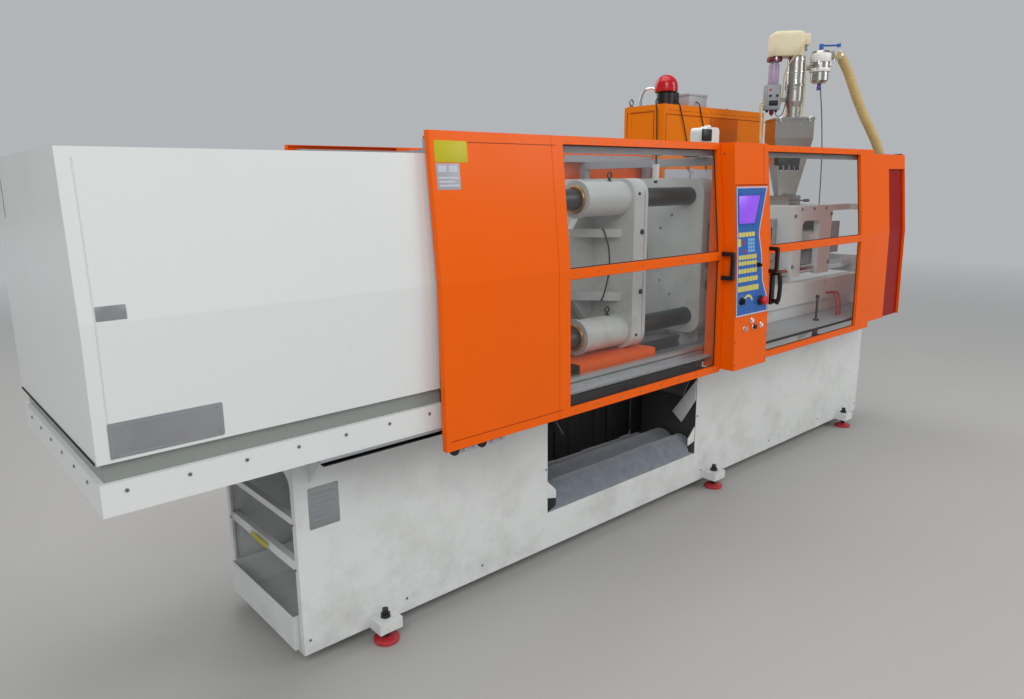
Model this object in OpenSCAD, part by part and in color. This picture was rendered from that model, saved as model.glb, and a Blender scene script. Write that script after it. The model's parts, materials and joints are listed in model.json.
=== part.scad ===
// Injection moulding machine with a central hydraulic clamp, in millimetres.
// X runs along the machine from the clamp end to the injection end, -Y is the
// operator's side, +Z is up, and the origin is on the floor under the middle.

/* [Overall] */
// Length from the end of the clamp cover to the injection end of the base
machine_len = 5050; // [5010:10:5200]
// Length of the clamp cover that stands out past the end of the base
cover_overhang = 630; // [580:5:680]
// Length of the white clamp cover
cover_len = 1120; // [1080:5:1160]
// Height of the clamp and injection axis above the floor
axis_z = 1340; // [1335:1:1350]

/* [Base] */
// Width of the welded base
base_w = 640; // [600:5:680]
// Clear height under the base
base_z0 = 55; // [50:1:60]
// Height of the top of the base
base_z1 = 857; // [850:1:860]
// Thickness of the base plates
base_wall = 10; // [8:1:14]
// Half width of the deck plate
deck_half = 540; // [537:1:545]
// Thickness of the deck plate
deck_t = 8; // [6:1:10]
// Width of the chute opening along the machine
chute_w = 1155; // [1050:5:1200]
// Height of the chute sill above the floor
chute_z0 = 228; // [200:2:260]
// Height of the top of the chute opening
chute_z1 = 760; // [700:5:780]
// Diameter of a levelling pad
pad_d = 100; // [80:2:120]
// Diameter of a levelling bolt
foot_bolt_d = 24; // [20:1:30]

/* [Guards] */
// Height of the bottom edge of the guards
guard_z0 = 790; // [780:1:795]
// Height of the crease where the guards start to lean back
kink_z = 1385; // [1375:1:1395]
// Height of the top edge of the guards
guard_z1 = 1900; // [1890:1:1930]
// Half width over the guards at the bottom edge
guard_half0 = 592; // [588:1:600]
// Half width over the guards at the crease
guard_half1 = 586; // [582:1:590]
// Half width over the guards at the top edge
guard_half2 = 535; // [531:1:540]
// Depth of the folded edge of a door
door_t = 25; // [22:1:27]
// Thickness of the sheet of the guards and covers
sheet_t = 3; // [2:0.5:4]
// Length of the clamp door
clamp_door_len = 1704; // [1680:2:1730]
// Length of the solid part of the clamp door
solid_len = 568; // [540:2:600]
// Travel of the clamp door
clamp_door_travel = 1040; // [900:10:1040]
// Length of the injection door
inj_door_len = 1375; // [1340:5:1400]
// Width of the control column
col_w = 300; // [280:2:320]
// Height of the bottom of the control column
col_z0 = 803; // [796:1:810]
// Half width over the column at its bottom
col_half0 = 667; // [660:1:672]
// Half width over the column at the crease
col_half1 = 648; // [643:1:653]
// Half width over the column at its top
col_half2 = 609; // [604:1:614]

/* [Clamp] */
// Height and width of the platens
platen_w = 800; // [790:2:810]
// Thickness of the fixed platen and the cylinder platen
platen_t = 180; // [160:2:190]
// Distance between the tie bar centres
tie_pitch = 620; // [600:2:630]
// Diameter of the tie bars
tie_d = 90; // [80:1:96]
// Diameter of the tie bar bosses
boss_d = 155; // [145:1:160]
// Distance from mould face to mould face as built
daylight = 445; // [420:1:460]
// Diameter of the locating ring bore
ring_d = 125; // [110:1:140]
// Depth of the locating ring bore
ring_depth = 30; // [20:1:35]
// Diameter of the clamp ram
ram_d = 260; // [230:2:270]
// Diameter of the piston head of the clamp ram
piston_d = 300; // [290:2:310]
// Running clearance on a radius
running = 0.05; // [0.03:0.01:0.08]

/* [Injection unit] */
// Distance of the hopper throat from the injection end of the base
throat_setback = 635; // [620:5:650]
// Distance of the nozzle tip from the mould face of the fixed platen
nozzle_back = 140; // [130:1:150]
// Diameter of the barrel
barrel_d = 130; // [120:1:136]
// Diameter of the screw
screw_d = 50; // [40:1:56]
// Outer width of the square hopper
hopper_w = 244; // [220:2:250]
// Height of the top of the loader
loader_top = 2660; // [2655:1:2690]

/* [Cabinet] */
// Length of the electrical cabinet
cab_len = 1170; // [1100:5:1200]
// Distance of the cabinet's front from the centre plane
cab_y0 = 370; // [360:1:380]
// Distance of the cabinet's back from the centre plane
cab_y1 = 690; // [680:1:692]
// Height of the cabinet's top
cab_z1 = 2200; // [2150:5:2230]
// Height of the cabinet's bottom
cab_z0 = 250; // [200:5:300]

/* [Hidden] */

// Clearances
seat = 0.3;
slip = 0.1;
door_gap = 4;

// Places along the machine
cover_x0 = -machine_len / 2;
cover_x1 = cover_x0 + cover_len;
base_x0 = cover_x0 + cover_overhang;
base_x1 = machine_len / 2;
door_lap = 28;
door_x0 = cover_x1 - door_lap;
door_x1 = door_x0 + clamp_door_len;
col_x0 = door_x1 + door_gap;
col_x1 = col_x0 + col_w;
inj_door_x0 = col_x1 + door_gap;
end_margin = 20;
guard_x1 = base_x1 - end_margin;
inj_side = guard_x1 - inj_door_x0;
inj_door_x1 = inj_door_x0 + min(inj_door_len, 0.72 * inj_side);

// Clamp unit
fp_x0 = col_x0 + 80;
fp_x1 = fp_x0 + platen_t;
mp_x1 = fp_x0 - daylight;
mp_plate = 100;
mp_x0 = mp_x1 - mp_plate;
boss_len = 295;
boss_x0 = mp_x0 - boss_len;
cp_x1 = boss_x0 - 650;
cp_x0 = cp_x1 - platen_t;
platen_z0 = axis_z - platen_w / 2;
platen_z1 = axis_z + platen_w / 2;
tie_r = tie_d / 2;
tie_off = tie_pitch / 2;
nut_len = 90;
nut_d = 150;
hub_x0 = mp_x0 - 255;
hub_len = 85;
hub_r = ram_d / 2 + 20;
web_t = 40;
web_y = hub_r - web_t / 2;
bolt_r = 7;
bolt_spacings = [[280, 280], [420, 420]];
bolt_depth = 40;
ejector_r = 15;
ejector_off = 70;
open_stroke = 250;
close_stroke = 240;
cyl_wall = 40;
head_len = 100;
ram_x0 = cp_x0 - 610;
cyl_x0 = ram_x0 - open_stroke - 5 - cyl_wall;

// Base and rails
base_y = base_w / 2;
deck_z = base_z1 + deck_t;
chute_x0 = fp_x0 + 135 - chute_w;
chute_x1 = chute_x0 + chute_w;
foot_xs = [base_x0 + 320, chute_x1 + 145, base_x1 - 275];
lug_w = 100;
lug_d = 80;
lug_z0 = base_z0;
lug_z1 = base_z0 + 45;
foot_y = base_y + 38;
pad_h = 22;
rail_half_y = 490;
rail_h = 30;
rail_d = 24;
rail_x0 = base_x0 + 30;
rail_lip = 4;
rail_z1 = base_z1;
rail_z0 = rail_z1 - rail_h;
roller_r = rail_h / 2 - rail_lip - 0.3;
bed_y = 250;
bed_rail_w = 80;
bed_rail_h = 60;
shoe_z0 = deck_z + bed_rail_h + seat;

// Cabinet
cab_x1 = base_x1 - 320;
cab_x0 = cab_x1 - cab_len;

// Guard frame
post = 40;
post_y1 = guard_half2 - door_t - 15;
post_y0 = post_y1 - post;
beam_z0 = guard_z1 - 60;
beam_z1 = beam_z0 + post;
post_xs = [cover_x1 + 5, col_x0 + 130, guard_x1 - post];

// Doors
edge = 32;
mid_z0 = kink_z - 37;
mid_z1 = kink_z + 3;
win_z0 = guard_z0 + edge;
win_z1 = guard_z1 - edge;
cwin_x0 = door_x0 + solid_len + 63;
cwin_x1 = door_x1 - 26;
iwin_x0 = inj_door_x0 + 126;
iwin_x1 = inj_door_x1 - 184;
pane_t = 5;
rebate = 12;
handle_reach = 66;
handle_z0 = kink_z - 133;
handle_z1 = kink_z + 3;
handle_w = 18;

// Injection unit
throat_x = base_x1 - throat_setback;
car_x0 = throat_x - 305;
car_x1 = throat_x + 205;
car_y = 240;
car_z0 = axis_z - 230;
car_z1 = axis_z + 220;
car_wall = 60;
car_side = 40;
rod_r = 30;
rod_y = 200;
rod_z = axis_z - 190;
bed_beam_x0 = fp_x1 + nut_len + 30;
bed_beam_x1 = guard_x1;
bed_beam_y = 262;
bed_beam_w = 80;
bed_beam_z1 = axis_z - 260;
rod_block = 40;
nozzle_x0 = fp_x0 + nozzle_back;
nozzle_len = 120;
barrel_x0 = nozzle_x0 + nozzle_len;
barrel_x1 = car_x1 - 10;
heater_t = 18;
heater_d = barrel_d + 2 * heater_t;
heater_n = 5;
block_x0 = car_x1 + 40;
block_len = 110;
block_x1 = block_x0 + block_len;
cyl_off = 160;
inj_cyl_r = 55;
inj_rod_r = 28;
inj_stroke = 150;
motor_len = 130;
gate_z0 = car_z1;
gate_z1 = gate_z0 + 62;
cone_z1 = gate_z1 + 368;
box_z1 = cone_z1 + 122;
lid_z1 = box_z1 + 8;
loader_r = 54;
loader_u = 20;
cap_h = 0.285 * (loader_top - lid_z1);
cap_z0 = loader_top - cap_h;
can_h = cap_z0 - lid_z1;
filter_u = 172;
filter_r = 62;
filter_z0 = lid_z1 + 0.565 * can_h;
filter_h = 0.518 * can_h;
filter_z1 = filter_z0 + filter_h;
hose_r = 30;
hose_foot = [throat_x + 460, -420, car_z1 - 20];

// Guards of the nozzle and the barrel
purge_x0 = fp_x1 + 15;
unit_room = car_x0 - fp_x1;
purge_len = 0.48 * unit_room;
purge_x1 = purge_x0 + purge_len;
purge_y = 190;
purge_z1 = axis_z + 350;
purge_z0 = axis_z - 60;
purge_rod_r = 8;
purge_hinge_y = purge_y + 14;
purge_hinge_z = purge_z1 - 14;
nut_reach = norm([purge_hinge_y + tie_off, purge_hinge_z - axis_z - tie_off]) - nut_d / 2 - 12;
hood_x0 = purge_x1 + 0.12 * unit_room;
hood_x1 = car_x0 - 6;
hood_y = 130;
hood_z0 = axis_z - 120;
hood_z1 = axis_z + 140;

// Controls on the column: place along the machine and height
stop_at = [col_x0 + 225, axis_z - 207];
knob_at = [col_x0 + 52, axis_z - 195];
key_at = [col_x0 + 190, axis_z - 27];
button_at = [[col_x0 + 92, axis_z - 336], [col_x0 + 176, axis_z - 336]];
lamp_at = [[col_x0 + 154, axis_z - 303], [col_x0 + 240, axis_z - 335]];
col_tilt = atan((col_half0 - col_half1) / (kink_z - col_z0));
stem_r = 8;
stem_len = 34;
plate_t = 3;

// Half width of the outer guard surface at a height
function guard_half(z) = z < kink_z
    ? guard_half0 + (guard_half1 - guard_half0) * (z - guard_z0) / (kink_z - guard_z0)
    : guard_half1 + (guard_half2 - guard_half1) * (z - kink_z) / (guard_z1 - kink_z);

// Half width of the front of the control column at a height
function col_half(z) = z < kink_z
    ? col_half0 + (col_half1 - col_half0) * (z - col_z0) / (kink_z - col_z0)
    : col_half1 + (col_half2 - col_half1) * (z - kink_z) / (guard_z1 - kink_z);

// Half width of the clamp cover at a height
cover_z0 = deck_z + 148;
cover_z1 = guard_z1 - 74;
skirt_half = guard_half0 - 57;
cover_half1 = guard_half1 - 46;
cover_half2 = guard_half2 - 32;
function cover_half(z) = z < kink_z
    ? skirt_half + (cover_half1 - skirt_half) * (z - cover_z0) / (kink_z - cover_z0)
    : cover_half1 + (cover_half2 - cover_half1) * (z - kink_z) / (cover_z1 - kink_z);

// Heights of the outline of a leaning sheet between two heights
function lean_zs(z0, z1) = z0 < kink_z && z1 > kink_z ? [z0, kink_z, z1] : [z0, z1];

module box(x0, x1, y0, y1, z0, z1) translate([x0, y0, z0]) cube([x1 - x0, y1 - y0, z1 - z0]);

// A drawing of (Y, Z) points pulled out along X
module along_x(x0, x1) {
    translate([x0, 0, 0]) rotate([90, 0, 90]) linear_extrude(x1 - x0) children();
}

// A drawing of (X, Z) points pulled out along Y
module along_y(y0, y1) {
    translate([0, y1, 0]) rotate([90, 0, 0]) linear_extrude(y1 - y0) children();
}

// A round bar along X
module bar_x(x0, x1, y, z, r) {
    translate([x0, y, z]) rotate([0, 90, 0]) cylinder(r = r, h = x1 - x0, $fn = 48);
}

// A round bar along Y
module bar_y(x, y0, y1, z, r) {
    translate([x, y0, z]) rotate([-90, 0, 0]) cylinder(r = r, h = y1 - y0, $fn = 32);
}

// A round bar along Z
module bar_z(x, y, z0, z1, r) translate([x, y, z0]) cylinder(r = r, h = z1 - z0, $fn = 40);

module round_rect(x0, x1, y0, y1, r) {
    union() {
        translate([x0 + r, y0]) square([x1 - x0 - 2 * r, y1 - y0]);
        translate([x0, y0 + r]) square([x1 - x0, y1 - y0 - 2 * r]);
        for (x = [x0 + r, x1 - r], y = [y0 + r, y1 - r]) translate([x, y]) circle(r, $fn = 24);
    }
}

module at_tie_bars() {
    for (y = [-tie_off, tie_off], z = [-tie_off, tie_off]) translate([0, y, axis_z + z]) children();
}

module both_sides() {
    children();
    mirror([0, 1, 0]) children();
}

// A slab that follows the guard's leaning surface, from one depth under it to another
module guard_slab(x0, x1, z0, z1, d0, d1) {
    zs = lean_zs(z0, z1);
    along_x(x0, x1) polygon(concat(
        [for (z = zs) [-guard_half(z) + d0, z]],
        [for (i = [len(zs) - 1:-1:0]) [-guard_half(zs[i]) + d1, zs[i]]]));
}

// The same for the column's front
module col_slab(x0, x1, z0, z1, d0, d1) {
    zs = lean_zs(z0, z1);
    along_x(x0, x1) polygon(concat(
        [for (z = zs) [-col_half(z) + d0, z]],
        [for (i = [len(zs) - 1:-1:0]) [-col_half(zs[i]) + d1, zs[i]]]));
}

// The column's outline, with a flat upright back
module col_box(x0, x1, z0, z1, d, back) {
    along_x(x0, x1) polygon(concat(
        [for (z = lean_zs(z0, z1)) [-col_half(z) + d, z]],
        [[-back, z1], [-back, z0]]));
}

// Stands children on the column's front, with +Z pointing out at the operator
module on_column(at) {
    translate([at[0], -col_half(at[1]), at[1]]) rotate([90 - col_tilt, 0, 0]) children();
}

// Welded base

bay_x0 = chute_x1 + 120;
bay_x1 = bay_x0 + 640;

module foot_lug(x) {
    difference() {
        box(x - lug_w / 2, x + lug_w / 2, -base_y - lug_d, -base_y, lug_z0, lug_z1);
        bar_z(x, -foot_y, lug_z0 - 1, lug_z1 + 1, foot_bolt_d / 2 + slip);
    }
}

function gusset_x(i) = base_x0 + 60 + i * (base_x1 - base_x0 - 120 - deck_t) / 5;

// A gusset under the deck, shorter where it stands over the chute's mouth
module gusset(x) {
    h = x > chute_x0 - deck_t && x < chute_x1 ? base_z1 - chute_z1 - 5 : 150;
    along_x(x, x + deck_t) polygon([[-base_y, base_z1], [-base_y - 145, base_z1], [-base_y, base_z1 - h]]);
}

module cheek(side) {
    x = side > 0 ? chute_x1 : chute_x0;
    along_y(-base_y + base_wall, base_y - base_wall) polygon([[x, chute_z1 - 5],
        [x - side * 115, chute_z1 - 175], [x - side * 110, chute_z1 - 180], [x, chute_z1 - 14]]);
}

module base_shell() {
    in_y = base_y - base_wall;
    difference() {
        box(base_x0, base_x1, -base_y, base_y, base_z0, base_z1);
        box(base_x0 + base_wall, base_x1 - base_wall, -in_y, in_y, base_z0 + base_wall, base_z1 + 1);
        // Chute mouths, front and rear
        box(chute_x0, chute_x1, -base_y - 1, base_y + 1, chute_z0, chute_z1);
        // Open end with rounded corners over the mouth of the tray
        along_x(base_x0 - 1, base_x0 + base_wall + 1) union() {
            round_rect(-base_y + 28, base_y - 28, base_z0 + 95, base_z1 - 110, 60);
            translate([-base_y + 28, base_z0 + base_wall]) square([base_w - 56, 150]);
        }
        // Pump bay, open to the rear
        along_y(in_y - 1, base_y + 1) round_rect(bay_x0, bay_x1, base_z0 + 80, base_z1 - 130, 30);
    }
    // Side plates and floor of the chute, and the wall of the oil tank
    for (x = [chute_x0 - base_wall, chute_x1, bay_x1 + 60])
        box(x, x + base_wall, -in_y, in_y, base_z0 + base_wall, base_z1);
    box(chute_x0, chute_x1, -in_y, in_y, chute_z0 - base_wall, chute_z0);
}

module base_frame() color("gainsboro") {
    base_shell();
    for (x = foot_xs) both_sides() foot_lug(x);
    for (i = [0:5]) gusset(gusset_x(i));
    for (i = [0, 1, 2, 5]) mirror([0, 1, 0]) gusset(gusset_x(i));
    cheek(-1);
    cheek(1);
    // Tie bars across the open end, pushed back from its face
    for (z = [[base_z0 + 313, 37], [base_z0 + 490, 27]])
        box(base_x0 + base_wall, base_x0 + base_wall + 25, -base_y + base_wall, base_y - base_wall,
            z[0], z[0] + z[1]);
}

module base_deck() color("silver") {
    difference() {
        box(base_x0, base_x1, -deck_half, deck_half, base_z1, deck_z);
        box(chute_x0, fp_x0 - 20, -bed_y + bed_rail_w / 2 + 10, bed_y - bed_rail_w / 2 - 10,
            base_z1 - 1, deck_z + 1);
        box(col_x0 - 2, col_x1 + 2, -deck_half - 1, -post_y1 + 1, base_z1 - 1, deck_z + 1);
        box(cab_x0 - 6, base_x1 + 1, cab_y0 - 5, deck_half + 1, base_z1 - 1, deck_z + 1);
    }
}

tray_h = 135;
module drip_tray() color("white") {
    z = base_z0 + base_wall;
    difference() {
        box(base_x0 - 18, base_x0 + 420, -base_y + 40, base_y - 40, z, z + tray_h);
        box(base_x0 - 15, base_x0 + 417, -base_y + 43, base_y - 43, z + 3, z + tray_h + 1);
    }
}

module levelling_bolts() color("dimgray") {
    for (x = foot_xs, s = [-1, 1]) translate([x, s * foot_y, pad_h]) {
        cylinder(r = foot_bolt_d / 2, h = lug_z1 - pad_h + 34, $fn = 40);
        for (z = [lug_z0 - 14, lug_z1])
            translate([0, 0, z - pad_h]) cylinder(r = foot_bolt_d * 0.85, h = 14, $fn = 6);
    }
}

module levelling_pads() color("crimson") {
    for (x = foot_xs, s = [-1, 1]) translate([x, s * foot_y, 0]) rotate_extrude($fn = 48)
        polygon([[0, 0], [pad_d / 2 - 3, 0], [pad_d / 2, 3], [pad_d / 2, pad_h - 8],
            [pad_d / 2 - 5, pad_h - 4], [foot_bolt_d * 0.9, pad_h], [0, pad_h]]);
}

// A felt belt with rounded ends lies on the sill of the chute
mat_t = 34;
module chute_mat() color("slategray") {
    along_y(-base_y + base_wall + 20, base_y - base_wall - 20) union() {
        translate([chute_x0 + 12 + mat_t / 2, chute_z0]) square([chute_w - 24 - mat_t, mat_t]);
        for (x = [chute_x0 + 12 + mat_t / 2, chute_x1 - 12 - mat_t / 2])
            translate([x, chute_z0 + mat_t / 2]) circle(mat_t / 2, $fn = 32);
    }
}

// Covers and guards

module cover_outline(d) {
    zs = [cover_z0 + d, kink_z, cover_z1 - d];
    polygon(concat(
        [for (z = zs) [-cover_half(z) + d, z]],
        [for (i = [2:-1:0]) [cover_half(zs[i]) - d, zs[i]]]));
}

module clamp_cover() color("whitesmoke") {
    difference() {
        along_x(cover_x0, cover_x1) cover_outline(0);
        along_x(cover_x0 + sheet_t, cover_x1 - sheet_t) cover_outline(sheet_t);
        // Mouths at the bottom and at the door end leave a folded edge
        box(cover_x0 + 22, cover_x1 - 22, -skirt_half + 22, skirt_half - 22,
            cover_z0 - 1, cover_z0 + sheet_t + 1);
        // Its folded edge stops where the lower tie bars end
        box(cover_x1 - 40, cover_x1 + 1, -tie_off - nut_d / 2 - 5, tie_off + nut_d / 2 + 5,
            cover_z0 - 1, cover_z0 + 40);
        along_x(cover_x1 - sheet_t - 1, cover_x1 + 1) intersection() {
            cover_outline(22);
            translate([-skirt_half, cover_z0]) square([2 * skirt_half, cover_z1 - cover_z0]);
        }
        // Seam round the big side panel, front and rear
        for (s = [-1, 1]) for (x = [cover_x0 + 36, cover_x1 - 34])
            along_x(x, x + 3) polygon([for (z = [cover_z0 + 6, kink_z, cover_z1 - 28])
                [s * (cover_half(z) + 1), z], for (z = [cover_z1 - 28, kink_z, cover_z0 + 6])
                [s * (cover_half(z) - 1), z]]);
        // Finger slot in the end wall
        along_x(cover_x0 - 1, cover_x0 + sheet_t + 1)
            round_rect(skirt_half - 190, skirt_half - 160, cover_z1 - 200, cover_z1 - 66, 14);
    }
}

module plan_ring(d0, d1) {
    difference() {
        translate([cover_x0 + d0, -skirt_half + d0]) square([cover_len - d0, 2 * (skirt_half - d0)]);
        translate([cover_x0 + d1, -skirt_half + d1]) square([cover_len - d1 + 1, 2 * (skirt_half - d1)]);
    }
}

module cover_skirt() color("gainsboro") {
    band_z0 = cover_z0 - 56;
    translate([0, 0, deck_z]) linear_extrude(band_z0 - deck_z) plan_ring(0, sheet_t);
    translate([0, 0, band_z0 - sheet_t]) linear_extrude(sheet_t) plan_ring(0, 15 + sheet_t);
    translate([0, 0, band_z0]) linear_extrude(cover_z0 - band_z0) plan_ring(15, 15 + sheet_t);
}

module door_rail(x0, x1) {
    difference() {
        box(x0, x1, -rail_half_y - rail_d / 2, -rail_half_y + rail_d / 2, rail_z0, rail_z1);
        box(x0 - 1, x1 + 1, -rail_half_y - rail_d / 2 - 1, -rail_half_y + rail_d / 2 - rail_lip,
            rail_z0 + rail_lip, rail_z1 - rail_lip);
    }
}

module door_rails() color("black") {
    door_rail(rail_x0, guard_x1);
    mirror([0, 1, 0]) door_rail(rail_x0, col_x1);
}

module guard_frame() color("silver") {
    // Front posts and beam
    for (x = post_xs) box(x, x + post, -post_y1, -post_y0, deck_z, beam_z0);
    box(post_xs[0], guard_x1, -post_y1, -post_y0, beam_z0, beam_z1);
    // Rear posts and beam, which stops at the cabinet
    for (x = [post_xs[0], post_xs[1], cab_x0 - 10 - post])
        box(x, x + post, post_y0, post_y1, deck_z, beam_z0);
    box(post_xs[0], cab_x0 - 10, post_y0, post_y1, beam_z0, beam_z1);
    // Cross beams, hung low enough for the door hooks to pass over them
    for (x = [post_xs[0], post_xs[1]])
        box(x, x + post, -post_y0, post_y0, beam_z0 - post, beam_z0);
}

col_lip_z = guard_z1 - 200;
module control_column() color("orangered") {
    difference() {
        col_box(col_x0, col_x1, col_z0, guard_z1, 0, post_y1);
        col_box(col_x0 + sheet_t, col_x1 - sheet_t, col_z0 + sheet_t, guard_z1 - sheet_t,
            sheet_t, post_y1 + sheet_t);
        // The rail of the doors runs through its back
        box(col_x0 - 1, col_x1 + 1, -rail_half_y - rail_d / 2 - 1, -post_y1 + 1, rail_z0 - 1, rail_z1 + 1);
        // The upper part stands a little proud of the lower part
        col_slab(col_x0 - 1, col_x1 + 1, col_lip_z - 6, col_lip_z, -1, 2);
        // Openings in the back beside the post
        for (x = [[col_x0 + 25, post_xs[1] - 6], [post_xs[1] + post + 6, col_x1 - 25]])
            box(x[0], x[1], -post_y1 - sheet_t - 1, -post_y1 + 1, rail_z1 + 20, guard_z1 - 40);
        on_column(stop_at) cylinder(r = stem_r + seat, h = 80, center = true, $fn = 32);
        on_column(knob_at) cylinder(r = stem_r + seat, h = 80, center = true, $fn = 32);
        on_column(key_at) cylinder(r = stem_r + seat, h = 80, center = true, $fn = 32);
        for (at = button_at) on_column(at) cylinder(r = stem_r + seat, h = 80, center = true, $fn = 32);
    }
    // Pilot lamps beside the buttons
    for (at = lamp_at) on_column(at) rotate_extrude($fn = 32)
        polygon([[0, -sheet_t], [12, -sheet_t], [12, 3], [9.5, 4], [9.5, 9], [7, 11], [0, 12]]);
}

// The plate of the controls is waisted on its right side
panel_z0 = axis_z - 270;
panel_z1 = col_lip_z - 6;
module panel_outline() {
    polygon([[col_x0 + 6, panel_z0], [col_x1 - 5, panel_z0], [col_x1 - 6, panel_z0 + 62],
        [col_x0 + 245, panel_z0 + 160], [col_x0 + 228, axis_z + 20], [col_x0 + 205, axis_z + 120],
        [col_x0 + 214, axis_z + 160], [col_x1 - 14, panel_z1], [col_x0 + 6, panel_z1]]);
}

module operator_panel() color("royalblue") {
    difference() {
        intersection() {
            col_slab(col_x0, col_x1, panel_z0 - 1, panel_z1 + 1, -plate_t, -0.05);
            along_y(-900, -400) panel_outline();
        }
        on_column(stop_at) cylinder(r = stem_r + seat, h = 80, center = true, $fn = 32);
        on_column(knob_at) cylinder(r = stem_r + seat, h = 80, center = true, $fn = 32);
        on_column(key_at) cylinder(r = stem_r + seat, h = 80, center = true, $fn = 32);
    }
}

panel_inset = 32;
end_z0 = guard_z0 + 22;
end_z1 = beam_z1 - 2;
fold_x = guard_x1 - 0.46 * (guard_x1 - inj_door_x1);
dish = 18;
module end_panel() {
    // A flat sheet behind the door's edge, with a wide shallow dish at its end
    difference() {
        union() {
            guard_slab(inj_door_x1 - 60, guard_x1, end_z0, end_z1, panel_inset, panel_inset + sheet_t);
            guard_slab(fold_x - sheet_t, guard_x1, end_z0, end_z1 - 90, panel_inset, panel_inset + dish);
        }
        guard_slab(fold_x, guard_x1 - sheet_t, end_z0 - 1, end_z1 - 90 - sheet_t,
            panel_inset - 1, panel_inset + dish - sheet_t);
    }
    // Brackets to the deck and to the top beam
    difference() {
        union() {
            box(inj_door_x1 + 40, inj_door_x1 + 100, -guard_half0 + 20, -deck_half, base_z1, deck_z);
            box(inj_door_x1 + 40, inj_door_x1 + 100, -guard_half2 + 20, -post_y1, beam_z0 + 8, beam_z1 - 8);
        }
        guard_slab(inj_door_x1, guard_x1, guard_z0, guard_z1, -40, panel_inset);
    }
}

module fixed_panels() color("orangered") {
    end_panel();
    // Rear panel between the rear door and the cabinet
    mirror([0, 1, 0]) {
        guard_slab(col_x0, cab_x0 - door_gap, guard_z0, guard_z1, 0, door_t);
        for (x = [col_x0 + 60, cab_x0 - 120]) {
            box(x, x + 60, -guard_half0 + door_t - 1, -deck_half, base_z1, deck_z);
            box(x, x + 60, -guard_half(beam_z0 + 8) + door_t - 1, -post_y1, beam_z0 + 8, beam_z1 - 8);
        }
    }
}

// A door: a folded sheet with a sunk back, two windows and a rebate for the panes
module door_body(x0, x1, w0, w1, solid) {
    difference() {
        guard_slab(x0, x1, guard_z0, guard_z1, 0, door_t);
        for (z = [[win_z0, mid_z0], [mid_z1, win_z1]]) {
            guard_slab(w0, w1, z[0], z[1], -1, door_t + 1);
            guard_slab(w0 - rebate, w1 + rebate, z[0] - rebate, z[1] + rebate,
                door_t - pane_t - seat, door_t + 1);
        }
        if (solid > 0) {
            guard_slab(x0 + sheet_t, x0 + solid - sheet_t, guard_z0 + sheet_t, guard_z1 - sheet_t,
                sheet_t, door_t + 1);
            guard_slab(x0 + solid, x0 + solid + 2, guard_z0 - 1, guard_z1 + 1, -1, 1.5);
        }
    }
}

module door_panes(w0, w1) {
    for (z = [[win_z0, mid_z0], [mid_z1, win_z1]])
        guard_slab(w0 - rebate + seat, w1 + rebate - seat, z[0] - rebate + seat, z[1] + rebate - seat,
            door_t - pane_t - seat, door_t - seat);
}

// A D-shaped pull with rounded corners
module door_handle(x) {
    difference() {
        along_x(x - handle_w / 2, x + handle_w / 2) difference() {
            round_rect(-guard_half1 - handle_reach, -guard_half1 + 12, handle_z0, handle_z1, 11);
            round_rect(-guard_half1 - handle_reach + 16, -guard_half1 + 30,
                handle_z0 + 20, handle_z1 - 20, 7);
        }
        guard_slab(x - 20, x + 20, handle_z0 - 10, handle_z1 + 10, 0, 60);
    }
}

// Two hangers under a door, each an angle with a roller in the rail, and hooks over the top beam
hook_t = 7;
module door_rollers(xs) {
    arm_y = rail_half_y + rail_d / 2 + 10;
    hook_z = beam_z1 + 2;
    rail_mid = (rail_z0 + rail_z1) / 2;
    for (x = xs) {
        difference() {
            guard_slab(x - 30, x + 30, guard_z0 + 4, guard_z0 + 18, door_t, door_t + 60);
            box(x - 31, x + 31, -arm_y + 3, -400, guard_z0, rail_z1);
        }
        box(x - 30, x + 30, -arm_y - 3, -arm_y + 3, guard_z0 + 4, rail_z1 - 6);
        bar_y(x, -arm_y + 3, -rail_half_y - rail_d / 2 + 2, rail_mid, 6);
        bar_y(x, -rail_half_y - rail_d / 2 + 2, -rail_half_y + rail_d / 2 - rail_lip - 2, rail_mid, roller_r);
        difference() {
            guard_slab(x - 25, x + 25, hook_z, hook_z + hook_t, door_t, door_t + 100);
            box(x - 26, x + 26, -post_y0 + 1 + hook_t, -300, beam_z0, guard_z1);
        }
        box(x - 25, x + 25, -post_y0 + 1, -post_y0 + 1 + hook_t, beam_z1 - 22, hook_z + 1);
    }
}

clamp_roller_xs = [door_x0 + solid_len + 100, door_x1 - 70];
module clamp_door() color("orangered") door_body(door_x0, door_x1, cwin_x0, cwin_x1, solid_len);
module clamp_door_panes() color("lightcyan") door_panes(cwin_x0, cwin_x1);
module clamp_door_fittings() color("black") {
    door_handle(door_x1 - 13);
    door_rollers(clamp_roller_xs);
}

module rear_door() color("orangered") mirror([0, 1, 0]) {
    door_body(door_x0, door_x1, cwin_x0, cwin_x1, solid_len);
    door_handle(door_x1 - 13);
    door_rollers(clamp_roller_xs);
}
module rear_door_panes() color("lightcyan") mirror([0, 1, 0]) door_panes(cwin_x0, cwin_x1);

module injection_door() color("orangered") door_body(inj_door_x0, inj_door_x1, iwin_x0, iwin_x1, 0);
module injection_door_panes() color("lightcyan") door_panes(iwin_x0, iwin_x1);
module injection_door_fittings() color("black") {
    door_handle(inj_door_x0 + 90);
    door_rollers([inj_door_x0 + 80, inj_door_x1 - 545]);
}

// Lubrication unit on the cross beam over the fixed platen
module lube_unit() color("whitesmoke") {
    x = post_xs[1] + post / 2;
    difference() {
        along_y(-post_y0 + 64, -post_y0 + 154) translate([x - 64, beam_z0])
            round_rect(0, 119, 0, 146, 22);
        along_y(-post_y0 + 63, -post_y0 + 66) translate([x - 50, beam_z0 + 24]) square([91, 26]);
    }
}

// Clamp unit

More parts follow.
